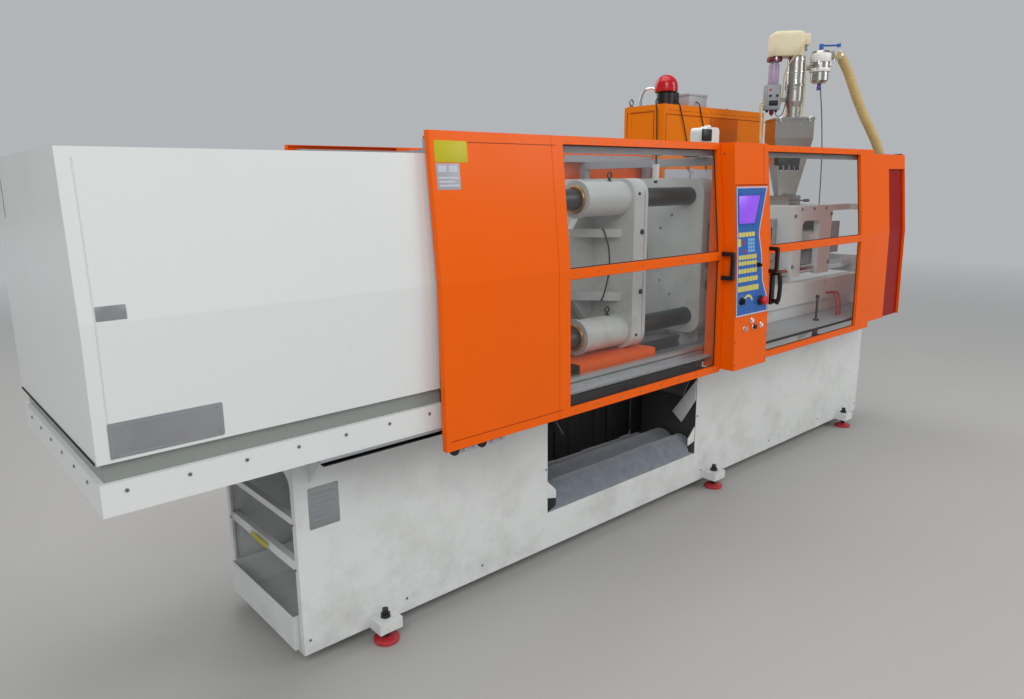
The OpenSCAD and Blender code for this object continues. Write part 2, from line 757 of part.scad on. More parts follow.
module platen_block(x0, x1) {
    h = platen_w / 2;
    along_x(x0, x1) translate([0, axis_z]) round_rect(-h, h, -h, h, 75);
}

module mould_holes(x, dir) {
    for (s = bolt_spacings, y = [-1, 1], z = [-1, 1])
        bar_x(min(x, x + dir * bolt_depth), max(x, x + dir * bolt_depth),
            y * s[0] / 2, axis_z + z * s[1] / 2, bolt_r);
}

module platen_feet(x0, x1) {
    for (y = [-bed_y - bed_rail_w / 2, bed_y - bed_rail_w / 2])
        box(x0 + 20, x1 - 20, y, y + bed_rail_w, deck_z, platen_z0 + 5);
}

module tie_bores(x0, x1, gap) at_tie_bars() bar_x(x0 - 1, x1 + 1, 0, 0, tie_r + gap);

module fixed_platen() color("white") {
    difference() {
        union() {
            platen_block(fp_x0, fp_x1);
            platen_feet(fp_x0, fp_x1);
            // Hinge rod of the purge guard
            bar_x(fp_x1 - 5, purge_x1 - 60, purge_hinge_y, purge_hinge_z, purge_rod_r);
        }
        tie_bores(fp_x0, fp_x1, slip);
        bar_x(fp_x0 - 1, fp_x0 + ring_depth, 0, axis_z, ring_d / 2);
        bar_x(fp_x0, fp_x1, 0, axis_z, 30);
        translate([fp_x0 + ring_depth + 30, 0, axis_z]) rotate([0, 90, 0])
            cylinder(r1 = 60, r2 = 130, h = platen_t - ring_depth - 29, $fn = 48);
        mould_holes(fp_x0, 1);
        // Pockets in the sides, as the casting is ribbed
        for (s = [-1, 1]) box(fp_x0 + 45, fp_x1 - 30, s > 0 ? platen_w / 2 - 45 : -platen_w / 2 - 1,
            s > 0 ? platen_w / 2 + 1 : -platen_w / 2 + 45, axis_z - 170, axis_z + 170);
    }
}

module cylinder_platen() color("white") {
    difference() {
        union() {
            platen_block(cp_x0, cp_x1);
            platen_feet(cp_x0, cp_x1);
        }
        tie_bores(cp_x0, cp_x1, slip);
        bar_x(cp_x0 - 1, cp_x1 + 1, 0, axis_z, ram_d / 2 + 1);
        for (s = [-1, 1]) box(cp_x0 + 30, cp_x1 - 30, s > 0 ? platen_w / 2 - 60 : -platen_w / 2 - 1,
            s > 0 ? platen_w / 2 + 1 : -platen_w / 2 + 60, axis_z - 170, axis_z + 170);
    }
}

module clamp_cylinder() color("gray") {
    ro = piston_d / 2 + cyl_wall;
    gland = 60;
    translate([cyl_x0, 0, axis_z]) rotate([90, 0, 90]) rotate_extrude($fn = 64) polygon([
        [0, 0], [ro + 20, 0], [ro + 20, cyl_wall], [ro, cyl_wall + 8], [ro, cp_x0 - cyl_x0 - 58],
        [ro + 45, cp_x0 - cyl_x0 - 50], [ro + 45, cp_x0 - cyl_x0], [ram_d / 2 + running, cp_x0 - cyl_x0],
        [ram_d / 2 + running, cp_x0 - cyl_x0 - gland], [piston_d / 2 + running, cp_x0 - cyl_x0 - gland],
        [piston_d / 2 + running, cyl_wall], [0, cyl_wall]]);
    for (x = [cyl_x0 + cyl_wall + 40, cp_x0 - 130]) bar_z(x, 0, axis_z + ro - 10, axis_z + ro + 45, 32);
}

module clamp_ram() color("silver") {
    bar_x(ram_x0, ram_x0 + head_len, 0, axis_z, piston_d / 2);
    bar_x(ram_x0 + head_len, hub_x0, 0, axis_z, ram_d / 2);
}

module tie_bars() color("silver") {
    at_tie_bars() bar_x(cp_x0 - nut_len - 18, fp_x1 + nut_len + 18, 0, 0, tie_r);
}

module tie_bar_nuts() color("dimgray") {
    for (x = [cp_x0 - nut_len, fp_x1]) at_tie_bars() difference() {
        bar_x(x, x + nut_len, 0, 0, nut_d / 2);
        bar_x(x - 1, x + nut_len + 1, 0, 0, tie_r + slip);
        for (a = [0:60:300]) rotate([a, 0, 0]) box(x + 12, x + nut_len - 12, -6, 6, nut_d / 2 - 8, nut_d);
    }
}

module bed_rails() color("silver") {
    for (y = [-bed_y, bed_y]) difference() {
        box(cp_x1 + 10, fp_x0 - 5, y - bed_rail_w / 2, y + bed_rail_w / 2, deck_z, deck_z + bed_rail_h);
        for (s = [-1, 1]) translate([cp_x1, y + s * bed_rail_w / 2 - 8, deck_z + 18])
            cube([fp_x0 - cp_x1, 16, 22]);
    }
}

// The moving platen: a plate, four long bosses, and a pyramid of webs that gathers into the hub
module web_outline() {
    polygon([[hub_x0, axis_z - 95], [hub_x0, axis_z + 95], [hub_x0 + hub_len, axis_z + 140],
        [mp_x0, axis_z + 330], [mp_x0, axis_z - 330], [hub_x0 + hub_len, axis_z - 140]]);
}

module moving_platen() color("white") {
    difference() {
        union() {
            platen_block(mp_x0, mp_x1);
            at_tie_bars() {
                bar_x(boss_x0 + 15, mp_x0, 0, 0, boss_d / 2);
                bar_x(boss_x0, boss_x0 + 15, 0, 0, boss_d / 2 + 6);
            }
            for (s = [-1, 1]) along_y(s * web_y - web_t / 2, s * web_y + web_t / 2) web_outline();
            for (s = [-1, 1]) translate([0, 0, axis_z + s * 150 - 20]) linear_extrude(40) polygon([
                [hub_x0 + 20, -95], [hub_x0 + 20, 95], [hub_x0 + hub_len, web_y], [mp_x0, 330],
                [mp_x0, -330], [hub_x0 + hub_len, -web_y]]);
            bar_x(hub_x0, hub_x0 + hub_len, 0, axis_z, hub_r);
            // Ribs from the bosses to the middle web
            for (t = [-1, 1]) for (y = [[-tie_off, -web_y], [web_y, tie_off]])
                box(mp_x0 - 150, mp_x0, y[0], y[1], axis_z + t * tie_off - 18, axis_z + t * tie_off + 18);
        }
        tie_bores(boss_x0, mp_x1, running);
        mould_holes(mp_x1, -1);
        for (y = [-1, 1], z = [-1, 1])
            bar_x(mp_x0 - 1, mp_x1 + 1, y * ejector_off, axis_z + z * ejector_off, ejector_r + running);
        // Shallow groove that frames the mould face, and the room behind it for the ejector
        box(mp_x1 - 26, mp_x1 - 20, -platen_w / 2 - 1, -platen_w / 2 + 5, platen_z0 - 1, platen_z1 + 1);
        box(hub_x0 + hub_len, mp_x0, -web_y + web_t / 2, web_y - web_t / 2, axis_z - 129, axis_z + 129);
    }
}

module platen_shoes() color("goldenrod") {
    for (y = [-bed_y, bed_y])
        box(mp_x0 - 60, mp_x1 - 6, y - bed_rail_w / 2 + 8, y + bed_rail_w / 2 - 8, shoe_z0, platen_z0);
}

module platen_tray() color("orangered") {
    y0 = -platen_w / 2 - 40;
    y1 = -bed_y - bed_rail_w / 2 - 4;
    z1 = platen_z0;
    box(boss_x0 - 100, mp_x1 + 35, y0, y1, z1 - sheet_t, z1);
    box(boss_x0 - 100, mp_x1 + 35, y0, y0 + sheet_t, z1 - 40, z1);
}

module ejector() color("gray") {
    x = mp_x0 - 110;
    difference() {
        box(x, x + 26, -web_y + web_t / 2 + 8, web_y - web_t / 2 - 8, axis_z - 115, axis_z + 115);
        bar_x(x - 1, x + 27, 0, axis_z, 22);
    }
    for (y = [-1, 1], z = [-1, 1])
        bar_x(x + 26, mp_x1 - 6, y * ejector_off, axis_z + z * ejector_off, ejector_r);
}

// Injection unit

module injection_bed() color("white") {
    for (s = [-1, 1]) {
        y = s * bed_beam_y;
        box(bed_beam_x0, bed_beam_x1, y - bed_beam_w / 2, y + bed_beam_w / 2,
            bed_beam_z1 - 135, bed_beam_z1);
        box(bed_beam_x0 + 20, bed_beam_x1 - 20, y - bed_beam_w / 2 + 18, y + bed_beam_w / 2 - 18,
            deck_z, bed_beam_z1 - 135);
    }
    for (x = [bed_beam_x0, bed_beam_x1 - rod_block]) difference() {
        box(x, x + rod_block, -bed_beam_y - bed_beam_w / 2, bed_beam_y + bed_beam_w / 2,
            bed_beam_z1, rod_z + 48);
        for (s = [-1, 1]) bar_x(x - 1, x + rod_block + 1, s * rod_y, rod_z, rod_r + slip);
    }
}

module guide_rods() color("silver") {
    for (s = [-1, 1]) bar_x(bed_beam_x0 - 6, bed_beam_x1 + 6, s * rod_y, rod_z, rod_r);
}

// The carriage is a cast portal: two end walls, two sides like an upturned U, and a top plate
module carriage() color("white") {
    difference() {
        union() {
            box(car_x0, car_x1, -car_y, car_y, car_z1 - 40, car_z1);
            for (x = [car_x0, car_x1 - car_wall]) box(x, x + car_wall, -car_y, car_y, car_z0, car_z1);
            for (y = [-car_y, car_y - car_side]) along_y(y, y + car_side) difference() {
                translate([car_x0, car_z0]) square([car_x1 - car_x0, car_z1 - car_z0]);
                round_rect(car_x0 + 115, car_x1 - 165, car_z0 - 40, car_z1 - 95, 40);
            }
            // Cylinders that drive the screw forward, and the feed housing round the barrel
            for (s = [-1, 1]) bar_x(car_x1 - 240, car_x1, s * cyl_off, axis_z, inj_cyl_r);
            box(throat_x - 75, throat_x + 75, -95, 95, axis_z - 95, car_z1 - 30);
            // Arm that holds the foot of the material hose
            box(car_x1, hose_foot[0] + 12, -car_y, -car_y + 24, car_z1 - 40, car_z1);
            box(hose_foot[0] - 12, hose_foot[0] + 12, hose_foot[1], -car_y, car_z1 - 40, car_z1);
            bar_z(hose_foot[0], hose_foot[1], car_z1 - 40, car_z1 + 22, hose_r + 10);
        }
        for (s = [-1, 1]) bar_x(car_x0 - 1, car_x1 + 1, s * rod_y, rod_z, rod_r + running);
        bar_x(car_x0 - 1, car_x1 + 1, 0, axis_z, barrel_d / 2 + slip);
        for (s = [-1, 1]) bar_x(car_x1 - 225, car_x1 + 1, s * cyl_off, axis_z, inj_rod_r + running);
        bar_z(throat_x, 0, axis_z, car_z1 + 1, 40);
        bar_z(hose_foot[0], hose_foot[1], hose_foot[2], car_z1 + 23, hose_r + seat);
    }
}

module barrel() color("silver") {
    difference() {
        bar_x(barrel_x0, barrel_x1, 0, axis_z, barrel_d / 2);
        bar_x(barrel_x0 - 1, barrel_x1 + 1, 0, axis_z, screw_d / 2 + seat);
        bar_z(throat_x, 0, axis_z, axis_z + barrel_d, 30);
    }
}

module nozzle() color("gray") {
    translate([nozzle_x0, 0, axis_z]) rotate([90, 0, 90]) rotate_extrude($fn = 48) polygon([
        [2, 0], [8, 0], [20, 10], [22, 40], [38, 70], [45, 84], [45, nozzle_len], [screw_d / 2, nozzle_len],
        [screw_d / 2, nozzle_len - 10], [6, nozzle_len - 36], [2, 12]]);
}

heater_x0 = barrel_x0 + 25;
heater_pitch = (car_x0 - 30 - heater_x0) / heater_n;
module heater_bands() color("darkgray") {
    for (i = [0:heater_n - 1]) difference() {
        union() {
            bar_x(heater_x0 + i * heater_pitch, heater_x0 + (i + 0.84) * heater_pitch,
                0, axis_z, heater_d / 2);
            translate([heater_x0 + (i + 0.22) * heater_pitch, 0, axis_z + heater_d / 2 - 6])
                cylinder(r = 14, h = 22, $fn = 24);
        }
        bar_x(heater_x0 - 50, car_x0, 0, axis_z, barrel_d / 2 + slip);
    }
}

// Sheet hood over the barrel, open below, with cooling slots
module barrel_cover() color("silver") {
    difference() {
        box(hood_x0, hood_x1, -hood_y, hood_y, hood_z0, hood_z1);
        box(hood_x0 + sheet_t, hood_x1 - sheet_t, -hood_y + sheet_t, hood_y - sheet_t,
            hood_z0 - 1, hood_z1 - sheet_t);
        for (x = [hood_x0 - 1, hood_x1 - sheet_t - 1]) {
            bar_x(x, x + sheet_t + 2, 0, axis_z, heater_d / 2 + 4);
            box(x, x + sheet_t + 2, -heater_d / 2 - 4, heater_d / 2 + 4, hood_z0 - 1, axis_z);
        }
        for (i = [0:5])
            translate([hood_x0 + (0.1 + 0.145 * i) * (hood_x1 - hood_x0), -hood_y - 1, hood_z0 + 60])
            cube([16, 2 * hood_y + 2, hood_z1 - hood_z0 - 110]);
    }
    // Brackets from the carriage
    both_sides() box(hood_x1 - sheet_t, car_x0, -hood_y + sheet_t, -hood_y + 40,
        hood_z1 - 60, hood_z1 - 54);
}

// Purge guard: top, front and ends in one sheet, hinged on a rod along its rear top edge
module purge_outline(d) {
    polygon([[purge_x0 + d, purge_z0 - d], [purge_x0 + d, purge_z1 - d], [purge_x1 - d, purge_z1 - d],
        [purge_x1 - d, purge_z1 - 130], [purge_x1 - 70 - d, purge_z0 - d]]);
}

// The room the barrel sweeps, seen from the guard, as the guard swings up
module swing_room() {
    r = norm([purge_hinge_y, purge_hinge_z - axis_z]);
    a = atan2(axis_z - purge_hinge_z, -purge_hinge_y) - 17;
    translate([purge_hinge_y, purge_hinge_z]) intersection() {
        difference() {
            circle(r + heater_d / 2 + 40, $fn = 64);
            circle(r - heater_d / 2 - 16, $fn = 64);
        }
        polygon([[0, 0], [900 * cos(a), 900 * sin(a)], [900 * cos(a + 80), 900 * sin(a + 80)],
            [900 * cos(a + 160), 900 * sin(a + 160)]]);
    }
}

module purge_guard() color("lightgray") {
    difference() {
        along_y(-purge_y, purge_y) purge_outline(0);
        along_y(-purge_y + sheet_t, purge_y + 1) purge_outline(sheet_t);
        along_x(purge_x0 - 1, purge_x1 + 1) swing_room();
        // Its lower front corner passes the end of a tie bar as it swings up
        along_x(purge_x0 - 1, fp_x1 + nut_len + 30) translate([purge_hinge_y, purge_hinge_z]) difference() {
            circle(nut_reach + nut_d + 60, $fn = 64);
            circle(nut_reach, $fn = 64);
        }
    }
    for (x = [purge_x0 + 0.12 * purge_len, purge_x1 - 0.26 * purge_len]) difference() {
        union() {
            bar_x(x, x + 50, purge_hinge_y, purge_hinge_z, purge_rod_r + 5);
            box(x, x + 50, purge_y - 20, purge_hinge_y, purge_z1 - sheet_t, purge_z1);
        }
        bar_x(x - 1, x + 51, purge_hinge_y, purge_hinge_z, purge_rod_r + running);
    }
}

// The hopper and its loader stand turned by an eighth of a turn, towards the operator
module turned() translate([throat_x, 0, 0]) rotate([0, 0, -45]) children();

module hopper_gate() color("silver") {
    box(throat_x - 62, throat_x + 62, -150, 44, gate_z0 + 27, gate_z0 + 33);
    box(throat_x - 30, throat_x + 30, -158, -150, gate_z0 + 20, gate_z0 + 40);
}

// Square hopper with its gate housing, a funnel and a straight top
module hopper() color("lightsteelblue") {
    h = hopper_w / 2;
    neck = 55;
    difference() {
        box(throat_x - 75, throat_x + 75, -75, 75, gate_z0, gate_z1);
        bar_z(throat_x, 0, gate_z0 - 1, gate_z1 + 1, 40);
        box(throat_x - 62 - seat, throat_x + 62 + seat, -76, 50,
            gate_z0 + 27 - seat, gate_z0 + 33 + seat);
    }
    turned() difference() {
        union() {
            hull() {
                box(-neck, neck, -neck, neck, gate_z1, gate_z1 + 1);
                box(-h, h, -h, h, cone_z1 - 1, cone_z1);
            }
            box(-h, h, -h, h, cone_z1, lid_z1);
            box(-h - 8, h + 8, -h - 8, h + 8, box_z1 - 6, box_z1);
        }
        hull() {
            box(-neck + sheet_t, neck - sheet_t, -neck + sheet_t, neck - sheet_t, gate_z1 - 1, gate_z1);
            box(-h + sheet_t, h - sheet_t, -h + sheet_t, h - sheet_t, cone_z1, cone_z1 + 1);
        }
        box(-h + sheet_t, h - sheet_t, -h + sheet_t, h - sheet_t, cone_z1, box_z1);
        bar_z(loader_u, 0, box_z1 - 1, lid_z1 + 1, 34);
    }
}

// Vacuum loader: a steel can on its ring, and the filter pot beside it
module loader_body() color("lightgray") turned() {
    translate([loader_u, 0, lid_z1]) difference() {
        rotate_extrude($fn = 48) polygon([[0, 0], [loader_r + 14, 0], [loader_r + 14, 10], [loader_r - 8, 14],
            [loader_r - 8, 0.18 * can_h], [loader_r, 0.28 * can_h], [loader_r, 0.52 * can_h],
            [loader_r + 5, 0.53 * can_h], [loader_r + 5, 0.55 * can_h], [loader_r, 0.56 * can_h],
            [loader_r, can_h], [0, can_h]]);
        translate([0, 0, -1]) cylinder(r = 34, h = 0.15 * can_h, $fn = 40);
    }
    translate([loader_u + loader_r - 6, 0, filter_z0 + filter_h / 2]) rotate([0, 90, 0])
        cylinder(r = 18, h = filter_u - filter_r - loader_u - loader_r + 16, $fn = 32);
    translate([filter_u, 0, filter_z0]) rotate_extrude($fn = 48) polygon([[0, 0], [filter_r - 24, 0],
        [filter_r - 8, 0.08 * filter_h], [filter_r - 8, 0.35 * filter_h], [filter_r, 0.36 * filter_h],
        [filter_r, 0.44 * filter_h], [filter_r - 6, 0.45 * filter_h], [filter_r - 6, 0.64 * filter_h],
        [filter_r, 0.65 * filter_h], [filter_r, 0.91 * filter_h], [filter_r - 14, filter_h],
        [0, filter_h]]);
    // Elbow the hose is clamped to
    translate([filter_u + 40, 0, filter_z1 - hose_r]) rotate([0, 90, 0])
        cylinder(r = hose_r - 4, h = 40.5, $fn = 32);
}

// Motor cover with a crowned top, the small box beside it, the sight glass and the control box
module loader_motor() color("ivory") turned() {
    u0 = loader_u - 172;
    u1 = loader_u + 32;
    difference() {
        translate([0, 0, cap_z0]) linear_extrude(loader_top - cap_z0) round_rect(u0, u1, -75, 75, 28);
        along_y(-80, 80) polygon([[u0 - 1, loader_top - 14], [u0 + 40, loader_top - 4], [u1 - 60, loader_top],
            [u1 + 1, loader_top - 6], [u1 + 1, loader_top + 5], [u0 - 1, loader_top + 5]]);
    }
    box(u1, u1 + 42, -30, 30, loader_top - 0.56 * cap_h, loader_top - 14);
    // Sight glass under the cover, then the control box
    translate([loader_u - 140, 0, cap_z0 - 0.08 * can_h]) cylinder(r = 42, h = 0.08 * can_h, $fn = 40);
    translate([loader_u - 140, 0, cap_z0 - 0.44 * can_h]) cylinder(r = 34, h = 0.37 * can_h, $fn = 40);
    box(loader_u - 190, loader_u - 95, -38, 38, cap_z0 - 0.855 * can_h, cap_z0 - 0.44 * can_h);
    box(loader_u - 96, loader_u - loader_r, -12, 12, cap_z0 - 0.72 * can_h, cap_z0 - 0.65 * can_h);
}

module valve_handle() color("blue") turned() {
    translate([filter_u, 0, filter_z1 + slip]) {
        cylinder(r = 14, h = 42, $fn = 32);
        translate([0, -10, 28]) cube([118, 20, 9]);
        translate([110, 0, 22]) cylinder(r = 13, h = 20, $fn = 32);
    }
}

// Material hose from the filter pot down to the arm on the carriage
hose_points = [
    [204, -196, 950], [228, -205, 940], [247, -216, 905], [272, -236, 850], [296, -260, 770],
    [322, -292, 670], [352, -328, 570], [388, -368, 470], [425, -398, 380], [450, -414, 300],
    [460, -420, 200], [460, -420, 60], [460, -420, 11]
];

module material_hose() color("burlywood") {
    at = [throat_x, 0, car_z1];
    rise = (filter_z1 - hose_r - car_z1) / 948;
    for (i = [0:len(hose_points) - 2]) hull() for (p = [hose_points[i], hose_points[i + 1]])
        translate(at + [p[0], p[1], max(p[2] * rise, 11)]) sphere(hose_r, $fn = 16);
}

module injection_block() color("white") {
    difference() {
        union() {
            box(block_x0, block_x1, -car_y + 15, car_y - 15, axis_z - 105, axis_z + 105);
            for (s = [-1, 1]) bar_x(car_x1 - 215, block_x0, s * cyl_off, axis_z, inj_rod_r);
        }
        bar_x(block_x0 - 1, block_x1 + 1, 0, axis_z, 34 + running);
    }
}

module screw_motor() color("dimgray") {
    translate([block_x1, 0, axis_z]) rotate([90, 0, 90]) rotate_extrude($fn = 48) polygon([
        [36, 0], [95, 0], [95, 22], [80, 30], [80, motor_len - 40], [68, motor_len - 30], [68, motor_len],
        [0, motor_len], [0, 12], [36, 12]]);
}

screw_x0 = barrel_x0 - 10 + 4;
module screw() color("silver") {
    flight_x1 = throat_x + 60;
    translate([screw_x0, 0, axis_z]) rotate([0, 90, 0])
        cylinder(r1 = 4, r2 = screw_d / 2 - 6, h = 30, $fn = 32);
    bar_x(screw_x0 + 30, flight_x1, 0, axis_z, screw_d / 2 - 6);
    bar_x(flight_x1, barrel_x1, 0, axis_z, screw_d / 2);
    bar_x(barrel_x1, block_x1 + 10, 0, axis_z, 34);
}

// Electrical cabinet, hung on the rear of the base by two channels

cab_wall = 6;
cab_door_t = 20;
cab_back = cab_y1 - cab_door_t - 2;
cab_mid = (cab_x0 + cab_x1) / 2;
hinge_r = 7;
pin_r = 4;
knuckle_zs = [cab_z0 + 250, cab_z1 - 330];
knuckle_h = 70;

module cabinet_body() color("darkorange") {
    difference() {
        box(cab_x0, cab_x1, cab_y0, cab_back, cab_z0, cab_z1);
        box(cab_x0 + cab_wall, cab_x1 - cab_wall, cab_y0 + cab_wall, cab_back + 1,
            cab_z0 + cab_wall, cab_z1 - cab_wall);
        // Shallow frames in the front and the ends, which show over the guards
        for (f = [[0.026, 0.389], [0.419, 0.684], [0.714, 0.974]])
            box(cab_x0 + f[0] * cab_len, cab_x0 + f[1] * cab_len,
                cab_y0 - 1, cab_y0 + 2, cab_z0 + 40, cab_z1 - 35);
        for (x = [[cab_x0 - 1, cab_x0 + 2], [cab_x1 - 2, cab_x1 + 1]])
            box(x[0], x[1], cab_y0 + 35, cab_back - 35, cab_z0 + 40, cab_z1 - 35);
    }
    // Mounting plate for the switchgear
    box(cab_x0 + cab_wall, cab_x1 - cab_wall, cab_y0 + 40, cab_y0 + 44, cab_z0 + 90, cab_z1 - 90);
    for (z = [cab_z0 + 60, base_z1 - 180]) box(cab_x0 + 60, cab_x1 - 60, base_y, cab_y0, z, z + 90);
    // Hinge tabs with their pins
    for (z = knuckle_zs, x = [cab_x0, cab_x1]) {
        out = x < cab_mid ? -9 : 9;
        box(min(x, x + out), max(x, x + out), cab_back - 30, cab_y1 + 7, z - 9, z - 0.1);
        bar_z(x + (x < cab_mid ? -1 : 1), cab_y1, z - 5, z + knuckle_h - 8, pin_r);
    }
}

// A folded door with knuckles on its outer corner and a swing handle at its free edge
module cabinet_door(side) {
    hx = side < 0 ? cab_x0 - 1 : cab_x1 + 1;
    x0 = side < 0 ? cab_x0 + 1 : cab_mid + 2;
    x1 = side < 0 ? cab_mid - 2 : cab_x1 - 1;
    difference() {
        union() {
            box(x0, x1, cab_y1 - cab_door_t, cab_y1, cab_z0 + 2, cab_z1 - 2);
            for (z = knuckle_zs) {
                bar_z(hx, cab_y1, z, z + knuckle_h, hinge_r);
                box(min(hx, hx - side * 12), max(hx, hx - side * 12), cab_y1 - 6, cab_y1, z, z + knuckle_h);
            }
        }
        box(x0 + sheet_t, x1 - sheet_t, cab_y1 - cab_door_t - 1, cab_y1 - sheet_t,
            cab_z0 + 2 + sheet_t, cab_z1 - 2 - sheet_t);
        for (z = knuckle_zs) {
            bar_z(hx, cab_y1, z - 1, z + knuckle_h + 1, pin_r + running);
            bar_z(hx, cab_y1, z - 10, z, 2 * hinge_r + 4);
        }
    }
    translate([side < 0 ? x1 - 45 : x0 + 15, cab_y1, axis_z - 70]) cube([30, handle_out, 140]);
}

handle_out = 8;
module cabinet_door_left() color("darkorange") cabinet_door(-1);
module cabinet_door_right() color("darkorange") cabinet_door(1);

// Lamp with a wide dome on a dark mount
beacon_r = 72;
beacon_mount_h = 84;
module cabinet_beacon() color("red") {
    translate([cab_x0 + 130, cab_y0 + 90, cab_z1]) {
        translate([-10, -45, 0]) cube([90, 90, beacon_mount_h]);
        cylinder(r = beacon_r - 14, h = beacon_mount_h, $fn = 48);
        translate([0, 0, beacon_mount_h]) cylinder(r = beacon_r, h = 34, $fn = 48);
        translate([0, 0, beacon_mount_h + 34]) intersection() {
            sphere(r = beacon_r, $fn = 48);
            cylinder(r = beacon_r + 1, h = beacon_r + 1, $fn = 48);
        }
    }
}

module pump_unit() color("steelblue") {
    x = bay_x0 + 40;
    z = base_z0 + 300;
    box(x, x + 330, -140, 140, base_z0 + base_wall, base_z0 + base_wall + 30);
    for (px = [x + 40, x + 250]) box(px, px + 40, -110, 110, base_z0 + base_wall + 30, z);
    bar_x(x, x + 330, 0, z, 130);
    bar_x(x + 330, x + 400, 0, z, 70);
    bar_x(x + 400, x + 540, 0, z, 85);
}

// Controls

module e_stop() color("red") on_column(stop_at) {
    translate([0, 0, plate_t + 8]) rotate_extrude($fn = 40) polygon([[0, 0], [12, 0], [14, 12], [22, 15],
        [23, 21], [20, 27], [12, 30], [0, 31]]);
    translate([0, 0, -stem_len]) cylinder(r = stem_r, h = stem_len + plate_t + 9, $fn = 32);
}

module key_switch() color("black") on_column(key_at) {
    translate([0, 0, plate_t + slip]) cylinder(r = 14, h = 7, $fn = 32);
    translate([-2, -8, plate_t + 7]) cube([4, 16, 18]);
    translate([0, 0, -stem_len]) cylinder(r = stem_r, h = stem_len + plate_t + 1, $fn = 32);
}

module speed_knob() color("black") on_column(knob_at) {
    translate([0, 0, plate_t + slip]) cylinder(r = 15, h = 14, $fn = 32);
    translate([-3, -15, plate_t + 14]) cube([6, 30, 5]);
    translate([0, 0, -stem_len]) cylinder(r = stem_r, h = stem_len + plate_t + 1, $fn = 32);
}

module push_button(at) {
    on_column(at) {
        translate([0, 0, 6]) cylinder(r = 11, h = 7, $fn = 32);
        translate([0, 0, -stem_len]) cylinder(r = stem_r, h = stem_len + 7, $fn = 32);
    }
}

module button_start() color("silver") push_button(button_at[0]);
module button_stop() color("silver") push_button(button_at[1]);

base_frame();
base_deck();
drip_tray();
levelling_bolts();
levelling_pads();
chute_mat();
clamp_cover();
cover_skirt();
door_rails();
guard_frame();
control_column();
operator_panel();
fixed_panels();
lube_unit();
fixed_platen();
cylinder_platen();
clamp_cylinder();
tie_bars();
tie_bar_nuts();
bed_rails();
injection_bed();
guide_rods();
cabinet_body();
cabinet_beacon();
pump_unit();
cabinet_door_left();
cabinet_door_right();
moving_platen();
clamp_ram();
platen_tray();
platen_shoes();
ejector();
clamp_door();
clamp_door_panes();
clamp_door_fittings();
rear_door();
rear_door_panes();
injection_door();
injection_door_panes();
injection_door_fittings();
carriage();
barrel();
nozzle();
heater_bands();
barrel_cover();
purge_guard();
hopper();
hopper_gate();
loader_body();
loader_motor();
valve_handle();
material_hose();
injection_block();
screw_motor();
screw();
e_stop();
key_switch();
speed_knob();
button_start();
button_stop();
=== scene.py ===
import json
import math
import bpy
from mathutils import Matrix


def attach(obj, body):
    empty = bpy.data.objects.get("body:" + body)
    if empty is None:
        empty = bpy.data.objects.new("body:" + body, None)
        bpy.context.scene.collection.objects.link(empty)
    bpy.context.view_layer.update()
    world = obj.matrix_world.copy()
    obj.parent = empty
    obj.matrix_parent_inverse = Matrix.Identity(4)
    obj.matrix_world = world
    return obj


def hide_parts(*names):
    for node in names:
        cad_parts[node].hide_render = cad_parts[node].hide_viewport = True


bl_info = {
    "name": "Injection moulding machine",
    "version": (1, 0, 0),
    "blender": (4, 5, 0),
    "location": "3D View > Sidebar > Moulding",
    "description": "Dresses the packed frame of an injection moulding machine",
    "category": "Object",
}

from contextlib import contextmanager

import bmesh
import bpy
from mathutils import Matrix, Vector

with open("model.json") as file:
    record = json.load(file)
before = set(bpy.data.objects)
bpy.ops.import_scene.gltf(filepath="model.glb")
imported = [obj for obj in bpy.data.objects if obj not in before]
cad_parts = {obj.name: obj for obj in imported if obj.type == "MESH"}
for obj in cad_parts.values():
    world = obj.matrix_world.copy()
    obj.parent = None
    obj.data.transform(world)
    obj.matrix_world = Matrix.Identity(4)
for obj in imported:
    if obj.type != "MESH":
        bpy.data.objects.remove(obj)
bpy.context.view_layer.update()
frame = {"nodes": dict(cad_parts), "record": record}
NODES = frame["nodes"]

MACHINE = "machine"
CLAMP_DOOR = "clamp_door_unit"
REAR_DOOR = "rear_door_unit"
INJECTION_DOOR = "injection_door_unit"
PLATEN = "moving_platen_unit"
CARRIAGE = "carriage_unit"
PURGE = "purge_guard_unit"

# Heights and half widths of the leaning sheets, in millimetres, as all the places below are
KINK = 1385
GUARD = ((790, 592), (KINK, 586), (1900, 535))
COLUMN = ((803, 667), (KINK, 648), (1900, 609))
COVER = ((1013, 535), (KINK, 540), (1826, 503))

# Ways that the flat faces look
FRONT = (0, -1, 0)
LEFT = (-1, 0, 0)
RIGHT = (1, 0, 0)


# Colours and finishes


def shade(red, green, blue):
    """Turns screen values from 0 to 255 into the linear ones that Blender keeps"""
    linear = []
    for value in (red, green, blue):
        v = value / 255
        linear.append(v / 12.92 if v <= 0.04045 else ((v + 0.055) / 1.055) ** 2.4)
    return tuple(linear)


def add_node(tree, kind, inputs=None, **settings):
    """Adds a shader node, with each input linked to a socket or set to a value"""
    made = tree.nodes.new(kind)
    for name, value in settings.items():
        setattr(made, name, value)
    for name, value in (inputs or {}).items():
        if isinstance(value, bpy.types.NodeSocket):
            tree.links.new(value, made.inputs[name])
        else:
            made.inputs[name].default_value = value
    return made


